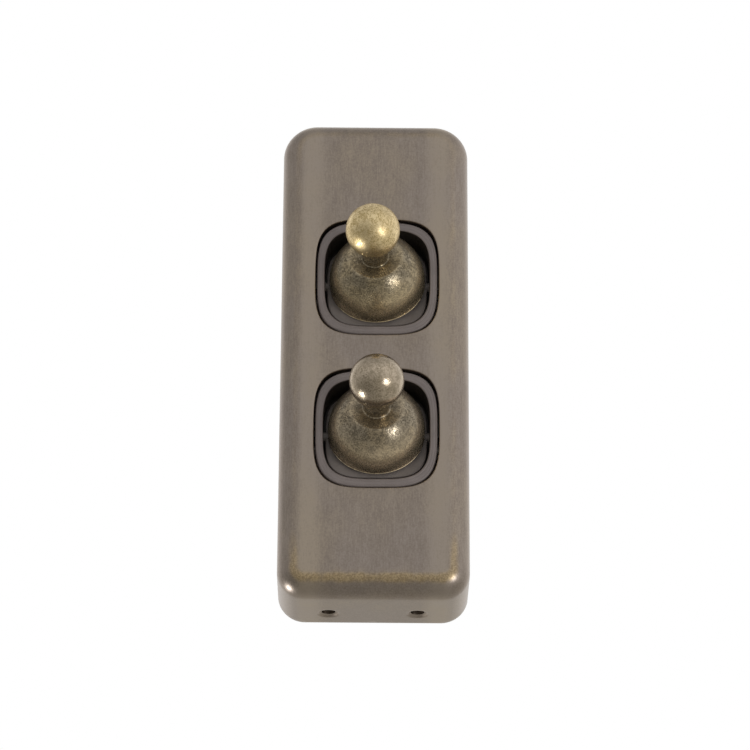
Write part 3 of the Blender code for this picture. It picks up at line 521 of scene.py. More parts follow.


# %% [markdown]
# ## The turned toggles
# Each toggle is one bar of brass, turned to a ball, a slim neck and an open bell, and then worn by
# fingers. The outline is a chain of arcs with one soft curve between the bell's shoulder and the
# shallow hollow under the neck. A value called `rub` is stored with the points: it rises towards 1
# on the ball, which fingers wear bright, is 0 on the bell's upper part, and falls to -1 on the neck
# and on the bell's lower side. Those negative values mark painted light: the finish makes the neck
# and the bell's lower side lighter, so the bell's top under the ball stays darker as painted shade.

# %% Toggles
BELL = 10.2 * MM
BALL = 5.7 * MM
BALL_HEIGHT = 17.5 * MM
NECK_TOP = 3.4 * MM
NECK = 2.65 * MM
FLARE = 0.35 * MM
FLARE_END = 278
FLARE_HEIGHT = 8.45 * MM
BELL_RIM = 1.6 * MM
BELL_WALL = 1.5 * MM
SPIGOT = 1.9 * MM
SPIGOT_END = -4.7 * MM
SHOULDER = 55
SHOULDER_PULL = 1.4 * MM
LIP_ROUND = 0.25 * MM
HOLLOW_ROUND = 2.2 * MM
HOLLOW_ROOF = 0.4 * BELL
SPIGOT_EDGE = 0.3 * MM
TOGGLE_COLUMNS = 144
BALL_RUBBED, BALL_SPAN = 11, 9
# Heights where the neck and the bell's lower part are painted lighter, as painted light.
NECK_LIT_AT, NECK_SPAN = 10.2, 1.4
BELL_LIT_BELOW, BELL_SPAN = 8, 6


def toggle_outline():
    """Radius and height from the ball's top, down the outside, up inside the bell, down the spigot."""
    ball = arc(0, BALL_HEIGHT, BALL, 90, -math.degrees(math.acos(NECK_TOP / BALL)), 44)
    flare = arc(NECK + FLARE, FLARE_HEIGHT, FLARE, 180, FLARE_END, 16)
    bell = arc(0, 0, BELL, SHOULDER, -math.degrees(math.asin(BELL_RIM / BELL)) + 1.2, 26)
    leave, meet = math.radians(FLARE_END + 90), math.radians(SHOULDER)
    soft = curve_between(flare[-1], (SHOULDER_PULL * math.cos(leave), SHOULDER_PULL * math.sin(leave)),
                         bell[0], (SHOULDER_PULL * math.sin(meet), -SHOULDER_PULL * math.cos(meet)), 16)
    lip = arc(BELL - LIP_ROUND, -BELL_RIM + 0.2 * MM, LIP_ROUND, -10, -170, 6)
    inner = BELL - BELL_WALL
    hollow = [(inner, -BELL_RIM + 0.3 * MM)]
    hollow += arc(inner - HOLLOW_ROUND, HOLLOW_ROOF - HOLLOW_ROUND, HOLLOW_ROUND, 0, 90, 8)
    spigot = [(SPIGOT + 0.2 * MM, HOLLOW_ROOF), (SPIGOT, HOLLOW_ROOF - 0.2 * MM),
              (SPIGOT, SPIGOT_END + SPIGOT_EDGE), (SPIGOT - SPIGOT_EDGE, SPIGOT_END), (0, SPIGOT_END)]
    return np.array([(max(r, 0.0), h) for r, h in ball + flare + soft + bell + lip + hollow + spigot])


def rub_and_light_of(profile):
    """The ball's wear from handling, less the painted light on the neck and the bell, which grows
    towards the bell's lower side as 0.6 - 0.5 sin a."""
    height = profile[:, 1:] / MM
    a = np.linspace(0, 2 * math.pi, TOGGLE_COLUMNS, endpoint=False)
    on_ball = np.clip((height - BALL_RUBBED) / BALL_SPAN, 0, 1)
    on_neck = np.clip(1.6 - np.abs(height - NECK_LIT_AT) / NECK_SPAN, 0, 1)
    on_bell = np.clip((BELL_LIT_BELOW - height) / BELL_SPAN, 0, 1) * (0.6 - 0.5 * np.sin(a))
    return on_ball - on_neck - on_bell


profile = toggle_outline()
rub = rub_and_light_of(profile)
toggles = {}
for gang, place in on_seat.items():
    mesh = mesh_from(f"{gang}_toggle_turned", [(turned(profile, TOGGLE_COLUMNS), rub, True)], "rub")
    mesh.transform(place)
    toggles[gang] = piece_from(mesh.name, mesh, 40)
    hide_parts(f"{gang}_dolly")
    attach(toggles[gang], f"{gang}_toggle")
    print(mesh.name, len(mesh.polygons), "faces")

# %% [markdown]
# ## Rotors
# The rotor is the moulding that the toggle plugs into. Its flat plate closes the well round the
# bell, and its tail is a tube for a spring. From the socket's floor to the tube's floor it is one
# skin of loops again: circles, then the squared plate, then circles. The two trunnions that it
# turns on lie across that skin, so they are joined with a Boolean.

# %% Rotors
PLATE_HALF = (10.7 * MM, 10.5 * MM)
PLATE_FRONT, PLATE_BACK = -0.5 * MM, 1.0 * MM
HUB, HUB_END = 3.8 * MM, 3.0 * MM
GUIDE, GUIDE_END, GUIDE_BORE, GUIDE_FLOOR = 2.2 * MM, 9.0 * MM, 1.5 * MM, 3.6 * MM
SOCKET, SOCKET_END = 2.6 * MM, 2.2 * MM
TRUNNION, TRUNNION_START, TRUNNION_END = 1.0 * MM, 10.2 * MM, 12.55 * MM
SOFT = 0.25 * MM


def circle(r, y):
    """Round loop about the rotor's own Y axis."""
    return ring(angles, np.full_like(angles, r), y, (0, 0))


def plate(inset, y):
    """Squared loop of the rotor's plate, pulled in by inset."""
    reach = squared_reach(angles, PLATE_HALF[0] - inset, PLATE_HALF[1] - inset, RIM_POWER)
    return ring(angles, reach, y, (0, 0))


def circle_to_plate(r, inset, y):
    """Loops that change from a circle to the squared plate at one depth."""
    shares = np.linspace(0, 1, 7)[1:-1]
    return [circle(r, y) * (1 - share) + plate(inset, y) * share for share in shares]


def rotor_loops():
    """Loops in the hinge's frame, Y backwards, from the socket's floor to the guide's floor."""
    away, down = quarter(SOFT, 4)
    socket = [(0, SOCKET_END), (SOCKET * 0.6, SOCKET_END), (SOCKET, SOCKET_END), (SOCKET, 1 * MM),
              (SOCKET, 0), (SOCKET, PLATE_FRONT + SOFT), (SOCKET + SOFT, PLATE_FRONT)]
    tail = [(HUB + SOFT, PLATE_BACK), (HUB, PLATE_BACK + SOFT), (HUB, HUB_END - SOFT), (HUB - SOFT, HUB_END),
            (GUIDE + SOFT, HUB_END), (GUIDE, HUB_END + SOFT), (GUIDE, GUIDE_END - SOFT / 2),
            (GUIDE - SOFT / 2, GUIDE_END), (GUIDE_BORE + SOFT / 2, GUIDE_END),
            (GUIDE_BORE, GUIDE_END - SOFT / 2), (GUIDE_BORE, GUIDE_FLOOR), (0, GUIDE_FLOOR)]
    loops = [circle(r, y) for r, y in socket] + circle_to_plate(SOCKET + SOFT, SOFT, PLATE_FRONT)
    loops += [plate(a, PLATE_FRONT + d) for a, d in zip(down, away)]
    loops += [plate(a, PLATE_BACK - d) for a, d in zip(down[::-1], away[::-1])]
    loops += circle_to_plate(HUB + SOFT, SOFT, PLATE_BACK)[::-1] + [circle(r, y) for r, y in tail]
    return np.stack(loops)


for gang, place in on_hinge.items():
    mesh = mesh_from(f"{gang}_rotor_moulded", [(rotor_loops(), 0.0, True)])
    rotor = piece_from(mesh.name, mesh, 40)
    pins = [bar(f"trunnion_{hand}", TRUNNION, hand * TRUNNION_START, hand * TRUNNION_END, (0, 0))
            for hand in (-1, 1)]
    boolean(rotor, pins, "UNION")
    rotor.data.transform(place)
    rotor.data.set_sharp_from_angle(angle=math.radians(40))
    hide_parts(f"{gang}_rotor")
    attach(rotor, f"{gang}_toggle")
    print(rotor.name, len(rotor.data.polygons), "faces")

# %% [markdown]
# ## Screws
# A screw is circles down a shank, with one change: inside the thread the circle's radius also
# depends on how far round and how far down a point is, so that one V-shaped groove winds along
# it: r = R - depth * |saw(h / pitch + a / 2 pi)|. The head's slot is cut afterwards. Every screw
# takes its length and head from its own box in the frame, so one function makes all twelve
# slotted screws. Nobody lines up slots, so each screw's name decides how far it is turned.

# %% Slotted screws
THREAD_ROWS = 7
SLOT_HALF, SLOT_DEPTH = 0.3 * MM, 0.6 * MM
SCREW_SHARP = 32
SPIN_STEP = 37


def threaded(radius, pitch, start, end, columns, depth_share=0.55):
    """Rows of a threaded shank from start down to end, fading in and out over one turn."""
    rows = max(int(abs(start - end) / pitch * THREAD_ROWS), 12)
    h = np.linspace(start, end, rows + 1)[:, None]
    a = np.linspace(0, 2 * math.pi, columns, endpoint=False)[None, :]
    saw = np.abs(2 * ((h / pitch + a / (2 * math.pi)) % 1) - 1)
    fade = np.clip((start - h) / pitch, 0, 1) * np.clip((h - end) / pitch, 0, 1) ** 0.5
    r = radius - saw * fade * pitch * depth_share
    return np.stack([r * np.cos(a), r * np.sin(a), h + 0 * a], -1)


def slotted_screw(node, axis, shank, pitch, top, columns=36):
    """Pan-headed screw that fills its node's box. Its head, top high, is at the end axis points to."""
    low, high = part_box(node)
    size = high - low
    along = [abs(share) for share in axis].index(1)
    head = max(size[k] for k in range(3) if k != along) / 2
    length = size[along] - top
    crown = arc(head - top * 0.5, top * 0.5, top * 0.5, 0, 90, 7)[::-1]
    seat = [(head, 0.1 * MM), (head - 0.1 * MM, 0), (shank + 0.15 * MM, 0)]
    cap = [(0, top), (head * 0.4, top)] + crown + seat
    tip = [(shank * 0.55, -length), (0, -length)]
    shank_rows = threaded(shank, pitch, -0.15 * MM, -length + shank * 0.45, columns)
    grid = np.concatenate([turned(cap, columns), shank_rows, turned(tip, columns)])
    mesh = mesh_from(f"{node}_cut", [(grid, 0.0, True)])
    screw = piece_from(mesh.name, mesh, SCREW_SHARP)
    groove = block("groove", (-2 * head, -SLOT_HALF, top - SLOT_DEPTH), (2 * head, SLOT_HALF, top + head))
    boolean(screw, [groove], "DIFFERENCE")
    middle = (low + high) / 2
    middle[along] = (high if axis[along] > 0 else low)[along]
    turn = Vector(axis).to_track_quat("Z", "Y").to_matrix().to_4x4()
    spin = Matrix.Rotation(math.radians(sum(map(ord, node)) * SPIN_STEP % 180), 4, "Z")
    screw.data.transform(Matrix.Translation(middle) @ turn @ spin @ Matrix.Translation((0, 0, -top)))
    screw.data.set_sharp_from_angle(angle=math.radians(SCREW_SHARP))
    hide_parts(node)
    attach(screw, "switch_body")
    return screw


screws = [slotted_screw(f"wall_screw_{end}", (0, -1, 0), 1.75 * MM, 0.8 * MM, 2.0 * MM, 44)
          for end in ("upper", "lower")]
for gang in centres:
    screws += [slotted_screw(f"{gang}_clamp_screw_{hand}", (0, -1, 0), 1.2 * MM, 0.45 * MM, 1.4 * MM)
               for hand in ("left", "right")]
    screws += [slotted_screw(f"{gang}_{row}_terminal_screw", (1, 0, 0), 1.0 * MM, 0.4 * MM, 1.3 * MM, 28)
               for row in ("off", "common", "on")]
print(len(screws), "slotted screws,", sum(len(s.data.polygons) for s in screws), "faces")

# %% [markdown]
# ## Grub screws
# Two headless screws hold the cover from below. Their ends show in the holes, so the hexagon
# socket is real: its outline is a reach that depends on direction, r = R cos 30 / cos(a mod 60 -
# 30), and the loops step from that hexagon to the round end and on to the thread.

# %% Grub screws
GRUB_COLUMNS = 48
GRUB_PITCH = 0.45 * MM
SOCKET_REACH = 0.75 * MM
grubs = []
for side_of, hand in ((-1, "left"), (1, "right")):
    low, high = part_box(f"cover_screw_{hand}")
    radius, length = (high.x - low.x) / 2, high.z - low.z
    a = np.linspace(0, 2 * math.pi, GRUB_COLUMNS, endpoint=False)
    hexagon = SOCKET_REACH * math.cos(math.pi / 6) / np.cos(a % (math.pi / 3) - math.pi / 6)
    rows = [(0 * a, 1.3 * MM), (hexagon * 0.5, 1.25 * MM), (hexagon, 1.1 * MM), (hexagon, 0.05 * MM),
            (hexagon * 1.05, 0 * MM), (0 * a + radius * 0.86, 0 * MM)]
    start = np.stack([np.stack([r * np.cos(a), r * np.sin(a), 0 * a - h], -1) for r, h in rows])
    thread = threaded(radius, GRUB_PITCH, -0.2 * MM, -length + 0.4 * MM, GRUB_COLUMNS, 0.4)
    end = turned([(radius * 0.6, -length), (0, -length)], GRUB_COLUMNS)
    mesh = mesh_from(f"cover_screw_{hand}_cut", [(np.concatenate([start, thread, end]), 0.0, True)])
    foot = Vector(((low.x + high.x) / 2, (low.y + high.y) / 2, low.z))
    mesh.transform(Matrix.Translation(foot) @ Matrix.Rotation(math.pi, 4, "X"))
    grub = piece_from(mesh.name, mesh, SCREW_SHARP)
    grubs.append(grub)
    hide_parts(f"cover_screw_{hand}")
    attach(grub, "switch_body")

# %% [markdown]
# ## Pegs in the cover
# At its top the cover has no screws. Two short pegs are cast inside it and hook through the
# base's upper flange, so that the cover tips on from above and is held by the grub screws below.

# %% Pegs
PEG, PEG_LENGTH = 1.15 * MM, 4.0 * MM
PEG_ROOT, PEG_TIP_ROUND = 0.4 * MM, 0.3 * MM
PEG_COLUMNS = 40
top = COVER_HALF_Z - WALL / 2
foot = COVER_HALF_Z - WALL - PEG_LENGTH
collar = PEG + 0.3 * MM
outline = [(0, top), (collar, top), (collar, top - WALL / 2 + 0.05 * MM)]
outline += arc(PEG + PEG_ROOT, COVER_HALF_Z - WALL - PEG_ROOT, PEG_ROOT, 90, 180, 5)
outline += arc(PEG - PEG_TIP_ROUND, foot + PEG_TIP_ROUND, PEG_TIP_ROUND, 0, -90, 5) + [(0, foot)]
for side_of, hand in ((-1, "left"), (1, "right")):
    mesh = mesh_from(f"cover_peg_{hand}", [(turned(outline, PEG_COLUMNS), 0.0, True)], "wear")
    mesh.transform(Matrix.Translation((side_of * SCREW_X, SCREW_Y, 0)))
    peg = piece_from(mesh.name, mesh, 40)
    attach(peg, "switch_body")

# %% [markdown]
# ## Springs, plungers and pins
# A spring is a tube along a helix: centre (R cos t, y(t), R sin t), with y(t) easing off at both
# ends so that the last turns lie flat. The tube's own circle stands square to the wire. Plungers
# and pins are turned pieces with rounded ends.

# %% Springs
PLUNGER_TIP, PLUNGER, PLUNGER_BACK = 11.2 * MM, 1.2 * MM, 5.8 * MM
PLUNGER_EDGE, PIN_EDGE = 0.15 * MM, 0.15 * MM
PLUNGER_COLUMNS, PIN_COLUMNS = 48, 32
SPRING_WIRE, SPRING_TURNS = 0.2 * MM, 3
SPRING_ROOM = 0.3 * MM
TURN_STEPS, WIRE_SIDES = 48, 12
EASE = 0.55


def coil(radius, wire, start, end, turns):
    """Tube of a given wire along a helix about Y; ends close to a point for a flat-ground tip."""
    s = np.linspace(0, 1, turns * TURN_STEPS + 1)
    t = 2 * math.pi * turns * s
    ease = s - np.sin(2 * math.pi * s) / (2 * math.pi) * EASE
    centre = np.stack([radius * np.cos(t), start + (end - start) * ease, radius * np.sin(t)], -1)
    tangent = np.gradient(centre, axis=0)
    tangent /= np.linalg.norm(tangent, axis=1, keepdims=True)
    out = np.stack([np.cos(t), 0 * t, np.sin(t)], -1)
    side = np.cross(tangent, out)
    phi = np.linspace(0, 2 * math.pi, WIRE_SIDES, endpoint=False)[None, :, None]
    tube = centre[:, None] + wire * (np.cos(phi) * out[:, None] + np.sin(phi) * side[:, None])
    first = np.broadcast_to(centre[0], (1, WIRE_SIDES, 3))
    last = np.broadcast_to(centre[-1], (1, WIRE_SIDES, 3))
    return np.concatenate([first, tube, last])


small = {"spring": [], "brass": [], "steel": []}
for gang, place in on_hinge.items():
    lift = SPRING_ROOM + SPRING_WIRE
    grid = coil(GUIDE_BORE - lift, SPRING_WIRE, GUIDE_FLOOR + lift, PLUNGER_BACK - lift, SPRING_TURNS)
    spring_mesh = mesh_from(f"{gang}_spring_wound", [(grid, 0.0, True)])
    bottom = PLUNGER_BACK - PLUNGER_TIP
    outline = arc(0, -PLUNGER, PLUNGER, 90, 0, 14)
    outline += [(PLUNGER, bottom + PLUNGER_EDGE), (PLUNGER - PLUNGER_EDGE, bottom), (0, bottom)]
    plunger_mesh = mesh_from(f"{gang}_plunger_turned", [(turned(outline, PLUNGER_COLUMNS), 0.0, True)])
    plunger_mesh.transform(Matrix.Translation((0, PLUNGER_TIP, 0)) @ Matrix.Rotation(-math.pi / 2, 4, "X"))
    for mesh, node, kind, finish in ((spring_mesh, "plunger_spring", "spring", "spring_steel"),
                                     (plunger_mesh, "plunger", "brass", "contact_brass")):
        mesh.transform(place)
        item = piece_from(mesh.name, mesh, 40)
        small[kind].append(item)
        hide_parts(f"{gang}_{node}")
        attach(item, f"{gang}_toggle")
    low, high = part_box(f"{gang}_rocker_pin")
    r = (high.y - low.y) / 2
    half = (high.x - low.x) / 2
    ends = arc(r - PIN_EDGE, half - PIN_EDGE, PIN_EDGE, 90, 0, 4)
    outline = [(0, half)] + ends + [(x, -h) for x, h in ends[::-1]] + [(0, -half)]
    mesh = mesh_from(f"{gang}_rocker_pin_turned", [(turned(outline, PIN_COLUMNS), 0.0, True)])
    mesh.transform(Matrix.Translation((low + high) / 2) @ Matrix.Rotation(math.pi / 2, 4, "Y"))
    pin = piece_from(mesh.name, mesh, 40)
    small["steel"].append(pin)
    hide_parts(f"{gang}_rocker_pin")
    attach(pin, "switch_body")
print({kind: len(items) for kind, items in small.items()})

# %% [markdown]
# ## Pressed and moulded boxes
# The base plate, the housings, the terminals and the contact strips are flat-sided, and their
# plain solids already have the right shape. Real ones have no knife edges, though: a press leaves
# a small radius and a mould needs one. So each is a copy of its solid with its doubles merged, its
# flat faces joined up, and a narrow bevel along every sharp edge.

# %% Softened copies
DOUBLES, SLIVERS, FLAT = 0.002 * MM, 0.005 * MM, math.radians(0.5)
EDGE_ANGLE = math.radians(40)


def softened(node, body, width):
    """Copy of a node with a rounded edge of the given width."""
    mesh = nodes[node].data.copy()
    mesh.name = f"{node}_finished"
    mesh.materials.clear()
    for layer in list(mesh.attributes):
        if layer.name.startswith(("UVMap", "Col")) or layer.name == "custom_normal":
            mesh.attributes.remove(layer)
    skin = bmesh.new()
    skin.from_mesh(mesh)
    bmesh.ops.remove_doubles(skin, verts=skin.verts, dist=DOUBLES)
    bmesh.ops.dissolve_degenerate(skin, edges=skin.edges, dist=SLIVERS)
    bmesh.ops.dissolve_limit(skin, angle_limit=FLAT, verts=skin.verts, edges=skin.edges)
    loose = sum(len(edge.link_faces) != 2 for edge in skin.edges)
    skin.to_mesh(mesh)
    skin.free()
    item = piece_from(mesh.name, mesh, 30)
    round_edge = item.modifiers.new("edge", "BEVEL")
    round_edge.width = width
    round_edge.segments = 3
    round_edge.limit_method = "ANGLE"
    round_edge.angle_limit = EDGE_ANGLE
    round_edge.use_clamp_overlap = True
    round_edge.harden_normals = True
    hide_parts(node)
    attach(item, body)
    if loose:
        print(node, "has", loose, "open edges")
    return item


base = softened("mounting_base", "switch_body", 0.25 * MM)
housings = [softened(f"{gang}_housing", "switch_body", 0.3 * MM) for gang in centres]
strips = []
for gang in centres:
    strips += [softened(f"{gang}_{row}_{kind}", "switch_body", 0.12 * MM)
               for row in ("off", "common", "on") for kind in ("terminal", "contact")]
    strips.append(softened(f"{gang}_rocker_contact", f"{gang}_rocker", 0.1 * MM))
shown = [o for o in bpy.data.objects if o.get("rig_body") and not o.hide_render and o.type == "MESH"]

# %% [markdown]
# ## Writing a finish as sums
# A finish is a small formula: grain plus mottle, times wear. Written with bare nodes it takes a
# screenful of links, so a thin class wraps a node's output and turns +, - and * into Math nodes.
# The Nodes class adds any other node with one method, which takes the node's type, its settings
# and its inputs. The room's light uses it as it is, and the Finish class adds what a material has.

# %% Values, nodes and finishes
MIX_AMOUNT, MIX_FIRST, MIX_SECOND, MIX_COLOUR = 0, 6, 7, 2


class Value:
    """An output in a tree of nodes. Arithmetic on it adds Math nodes."""

    def __init__(self, nodes, socket):
        self.nodes, self.socket = nodes, socket

    def math(self, operation, *terms):
        """Add a Math node whose inputs are the terms."""
        return self.nodes.add("ShaderNodeMath", {"operation": operation}, dict(enumerate(terms)))

    def __add__(self, other):
        return self.math("ADD", self, other)

    def __radd__(self, other):
        return self.math("ADD", other, self)

    def __sub__(self, other):
        return self.math("SUBTRACT", self, other)

    def __rsub__(self, other):
        return self.math("SUBTRACT", other, self)

    def __mul__(self, other):
        return self.math("MULTIPLY", self, other)

    def __rmul__(self, other):
        return self.math("MULTIPLY", other, self)

    def __abs__(self):
        return self.math("ABSOLUTE", self)

    def between(self, low, high):
        """0 below low, 1 above high, and a smooth step from one to the other."""
        return self.nodes.add("ShaderNodeMapRange", {"interpolation_type": "SMOOTHSTEP"},
                              {"Value": self, "From Min": low, "From Max": high})


class Nodes:
    """A tree of nodes that values are added to."""

    def __init__(self, tree):
        self.tree = tree

    def add(self, kind, settings=None, inputs=None, output=0):
        """Add a node: its settings first, then its sockets' values or links."""
        node = self.tree.nodes.new(kind)
        for name, value in (settings or {}).items():
            setattr(node, name, value)
        for name, value in (inputs or {}).items():
            if isinstance(value, Value):
                self.tree.links.new(value.socket, node.inputs[name])
            else:
                node.inputs[name].default_value = value
        return Value(self, node.outputs[output])

    def blend(self, amount, first, second, how="MIX"):
        """Mix of two colours. Each is a value or three numbers."""
        inputs = {MIX_AMOUNT: amount}
        for socket, colour in ((MIX_FIRST, first), (MIX_SECOND, second)):
            inputs[socket] = colour if isinstance(colour, Value) else (*colour, 1.0)
        return self.add("ShaderNodeMix", {"data_type": "RGBA", "blend_type": how}, inputs, MIX_COLOUR)


class Finish(Nodes):
    """A material in the making, on a Principled shader."""

    def __init__(self, name, metallic, **constants):
        self.material = bpy.data.materials.new(name)
        self.material.use_nodes = True
        super().__init__(self.material.node_tree)
        self.shader = self.tree.nodes["Principled BSDF"]
        self.place = self.add("ShaderNodeTexCoord", output="Object")
        for socket, value in {"Metallic": metallic, **constants}.items():
            self.shader.inputs[socket.replace("_", " ")].default_value = value

    def noise(self, size, detail=2.0, rough=0.5, stretch=(1, 1, 1), twist=0.0):
        """Noise from 0 to 1 whose lumps are about size across, stretched by factors along X, Y and Z."""
        scale = [1 / (size * factor) for factor in stretch]
        where = self.add("ShaderNodeMapping", None, {"Vector": self.place, "Scale": scale})
        return self.add("ShaderNodeTexNoise", None, {"Vector": where, "Scale": 1.0, "Detail": detail,
                                                     "Roughness": rough, "Distortion": twist})

    def attribute(self, name):
        """A number stored with the points."""
        return self.add("ShaderNodeAttribute", {"attribute_name": name}, output="Fac")

    def bump(self, height, depth):
        """Feed the shader's normal from a height, full scale being depth."""
        self.feed(Normal=self.add("ShaderNodeBump", None, {"Height": height, "Distance": depth}))

    def feed(self, **links):
        """Link values to the shader's sockets, with _ for a space."""
        for name, value in links.items():
            self.tree.links.new(value.socket, self.shader.inputs[name.replace("_", " ")])

    def dress(self, *pieces):
        """Put this finish on pieces, in place of what they have."""
        for piece in pieces:
            piece.data.materials.clear()
            piece.data.materials.append(self.material)


# %% [markdown]
# ## Aged brass on the cover
# The cover is brass that was brushed up and down, darkened with a patina and then relieved, so
# the metal shows through where it is rubbed. The grain is noise stretched along Z, the patina is
# a slow mottle between a mauve and an olive brown, a strip along each side is polished a little
# brighter, and the stored wear lets a warmer gold through along the turned edge, broken up by the
# mottle so that it looks rubbed and not painted.

# %% Finish: cover
MAUVE_BROWN, OLIVE_BROWN, DARK_BROWN = (0.372, 0.318, 0.280), (0.402, 0.336, 0.266), (0.282, 0.236, 0.200)
POLISHED_BROWN = (0.46, 0.39, 0.31)
DULL_GOLD, BRIGHT_GOLD = (0.36, 0.26, 0.135), (0.58, 0.44, 0.24)
brass = Finish("aged_brass", 1.0)
grain = brass.noise(0.26 * MM, 3, 0.6, (1, 1, 7))
hair = brass.noise(0.45 * MM, 2, 0.5, (1, 1, 12))
cloud = brass.noise(14 * MM, 3, 0.55, (1, 1, 1.6))
mottle = brass.noise(2.6 * MM, 4, 0.6, (1, 1, 2.5))
speck = brass.noise(0.34 * MM, 2, 0.5)
from_middle = abs(brass.add("ShaderNodeSeparateXYZ", None, {0: brass.place}, output="X"))
polished = from_middle.between(9.5 * MM, 13.5 * MM) * (1 - from_middle.between(14.6 * MM, 16.6 * MM))
patina = brass.blend(cloud.between(0.35, 0.65), MAUVE_BROWN, OLIVE_BROWN)
brushed = (grain - 0.5) * 1.6 + (hair - 0.5) * 0.7 + (mottle - 0.5) * 1.1 + (speck - 0.5) * 1.5 + 0.5
patina = brass.blend(brushed + polished * 0.45, DARK_BROWN, patina)
patina = brass.blend(polished * 0.35, patina, POLISHED_BROWN)
rubbed = (brass.attribute("wear") * (0.25 + 1.5 * mottle)).between(0.15, 0.95)
golden = brass.blend(speck.between(0.38, 0.62), DULL_GOLD, BRIGHT_GOLD)
brass.feed(Base_Color=brass.blend(rubbed * 0.72, patina, golden))
brass.feed(Roughness=0.36 + (grain - 0.5) * 0.16 + (mottle - 0.5) * 0.12 - rubbed * 0.04)
brass.bump(grain * 0.6 + hair * 0.2 + speck * 0.5, 0.014 * MM)
pegs = [o for o in shown if o.name.startswith("cover_peg")]
brass.dress(cover, *pegs)
print("aged brass on", 1 + len(pegs), "pieces")

# %% [markdown]
# ## Worn brass on the toggles
# Fingers keep the balls bright and leave the bells brown. Both toggles share one recipe: dark
# specks in a lighter tone, with a grey haze in patches, and tones that follow the stored `rub`
# from the bell to the ball. Where `rub` is below 0, on the neck and towards the bell's lower side,
# a lighter tone is painted as light, so the bell's top under the ball stays darker as painted shade.
# A film on the bell makes it a little less metallic. The upper ball is used most, so its tone is
# yellower, and the lower one has gone greyer and smoother.

# %% Finish: toggles
def worn_brass(name, bright, grey, dark, stain, haze, ball_rough, bell_rough, pitted):
    """Speckled brass that is bright where it is rubbed and brown below. The ball goes from grey to
    bright, and the bell from dark to stain, with haze in patches. The neck and the bell's lower
    side get a lighter tone as painted light."""
    finish = Finish(name, 1.0)
    rub = finish.attribute("rub")
    rubbed = rub.between(0.0, 0.8)
    # Painted light: where rub is below 0, on the neck and the bell's lower side.
    painted_light = (0 - rub).between(0.0, 0.9)
    fine = finish.noise(0.30 * MM, 4, 0.75, twist=0.8)
    coarse = finish.noise(1.2 * MM, 5, 0.65, twist=0.8)
    patch_tone = finish.noise(4 * MM, 2, 0.5)
    scratch = finish.noise(0.12 * MM, 2, 0.5, (1, 9, 1), twist=0.3)
    speckle = (fine * 0.65 + coarse * 0.35).between(0.42, 0.58)
    cloudy = finish.blend(patch_tone.between(0.40, 0.62) * 0.5, stain, haze)
    # Painted light: a lighter tone for the neck and the bell's lower side.
    lit_tone = finish.blend(speckle, [c * 4.2 for c in dark], [c * 2.05 for c in stain])
    body = finish.blend(painted_light * 0.85, finish.blend(speckle, dark, cloudy), lit_tone)
    ball = finish.blend(speckle, grey, bright)
    ball = finish.blend(patch_tone.between(0.45, 0.75) * 0.4, ball, [c * 0.62 for c in bright])
    finish.feed(Base_Color=finish.blend(rubbed, body, ball))
    finish.feed(Metallic=0.88 + rubbed * 0.12)
    finish.feed(Roughness=bell_rough + rubbed * (ball_rough - bell_rough) + (1 - speckle) * 0.14
                + (scratch - 0.5) * 0.10)
    finish.bump(fine * 0.8 + scratch * 0.2 + coarse * 0.6, pitted)
    return finish


HAZE = (0.36, 0.32, 0.26)
upper_brass = worn_brass("worn_brass_upper", bright=(1.0, 0.81, 0.48), grey=(0.54, 0.405, 0.185),
                         dark=(0.110, 0.090, 0.060), stain=(0.41, 0.330, 0.208), haze=HAZE,
                         ball_rough=0.31, bell_rough=0.22, pitted=0.036 * MM)
lower_brass = worn_brass("worn_brass_lower", bright=(0.60, 0.50, 0.385), grey=(0.34, 0.28, 0.20),
                         dark=(0.115, 0.095, 0.068), stain=(0.41, 0.332, 0.225), haze=HAZE,
                         ball_rough=0.155, bell_rough=0.215, pitted=0.024 * MM)
upper_brass.dress(toggles["upper"])
lower_brass.dress(toggles["lower"])

# %% [markdown]
# ## Plastics
# The rims are a mauve-brown moulding with a fine satin texture. Their inner walls are painted
# nearly black where the stored `well` is 1, as painted shade in the deep well. The rotors are the
# same resin in a slightly paler batch, and the housings are a dark phenolic with the faint swirl
# that such powder mouldings have.

# %% Finish: plastics
# Near-black colour of the painted shade inside the rims' wells.
WELL_SHADE = (0.030, 0.024, 0.019)


def moulding(name, low, high, rough, grain_size, depth, swirl, shaded=None):
    """Moulded plastic: two near tones in a slow swirl, and an etched surface, with a painted shade in near
    black where the value named by shaded is 1.
    """
    finish = Finish(name, 0.0, IOR=1.5)
    slow = finish.noise(swirl, 3, 0.5, twist=1.2)
    etched = finish.noise(grain_size, 3, 0.6)
    scuff = finish.noise(1.1 * MM, 5, 0.7)
    tone = finish.blend(slow.between(0.3, 0.7) * 0.7 + (etched - 0.5) * 0.5, low, high)
    if shaded:
        # Painted shade: the tone goes to near black where the named value is 1.
        tone = finish.blend(finish.attribute(shaded), tone, WELL_SHADE)
    finish.feed(Base_Color=tone)
    finish.feed(Roughness=rough + (etched - 0.5) * 0.16 + (scuff - 0.5) * 0.16)
    finish.bump(etched + scuff * 0.3, depth)
    return finish


rotors = [o for o in shown if o.name.endswith("rotor_moulded")]
moulding("rim_plastic", (0.195, 0.166, 0.158), (0.235, 0.200, 0.190), 0.42, 0.10 * MM, 0.006 * MM,
         6 * MM, "well").dress(*rims.values())
moulding("rotor_plastic", (0.210, 0.182, 0.168), (0.250, 0.218, 0.202), 0.45, 0.12 * MM, 0.008 * MM,
         5 * MM).dress(*rotors)
moulding("phenolic", (0.020, 0.016, 0.013), (0.042, 0.031, 0.024), 0.34, 0.20 * MM, 0.006 * MM,
         4 * MM).dress(*housings)

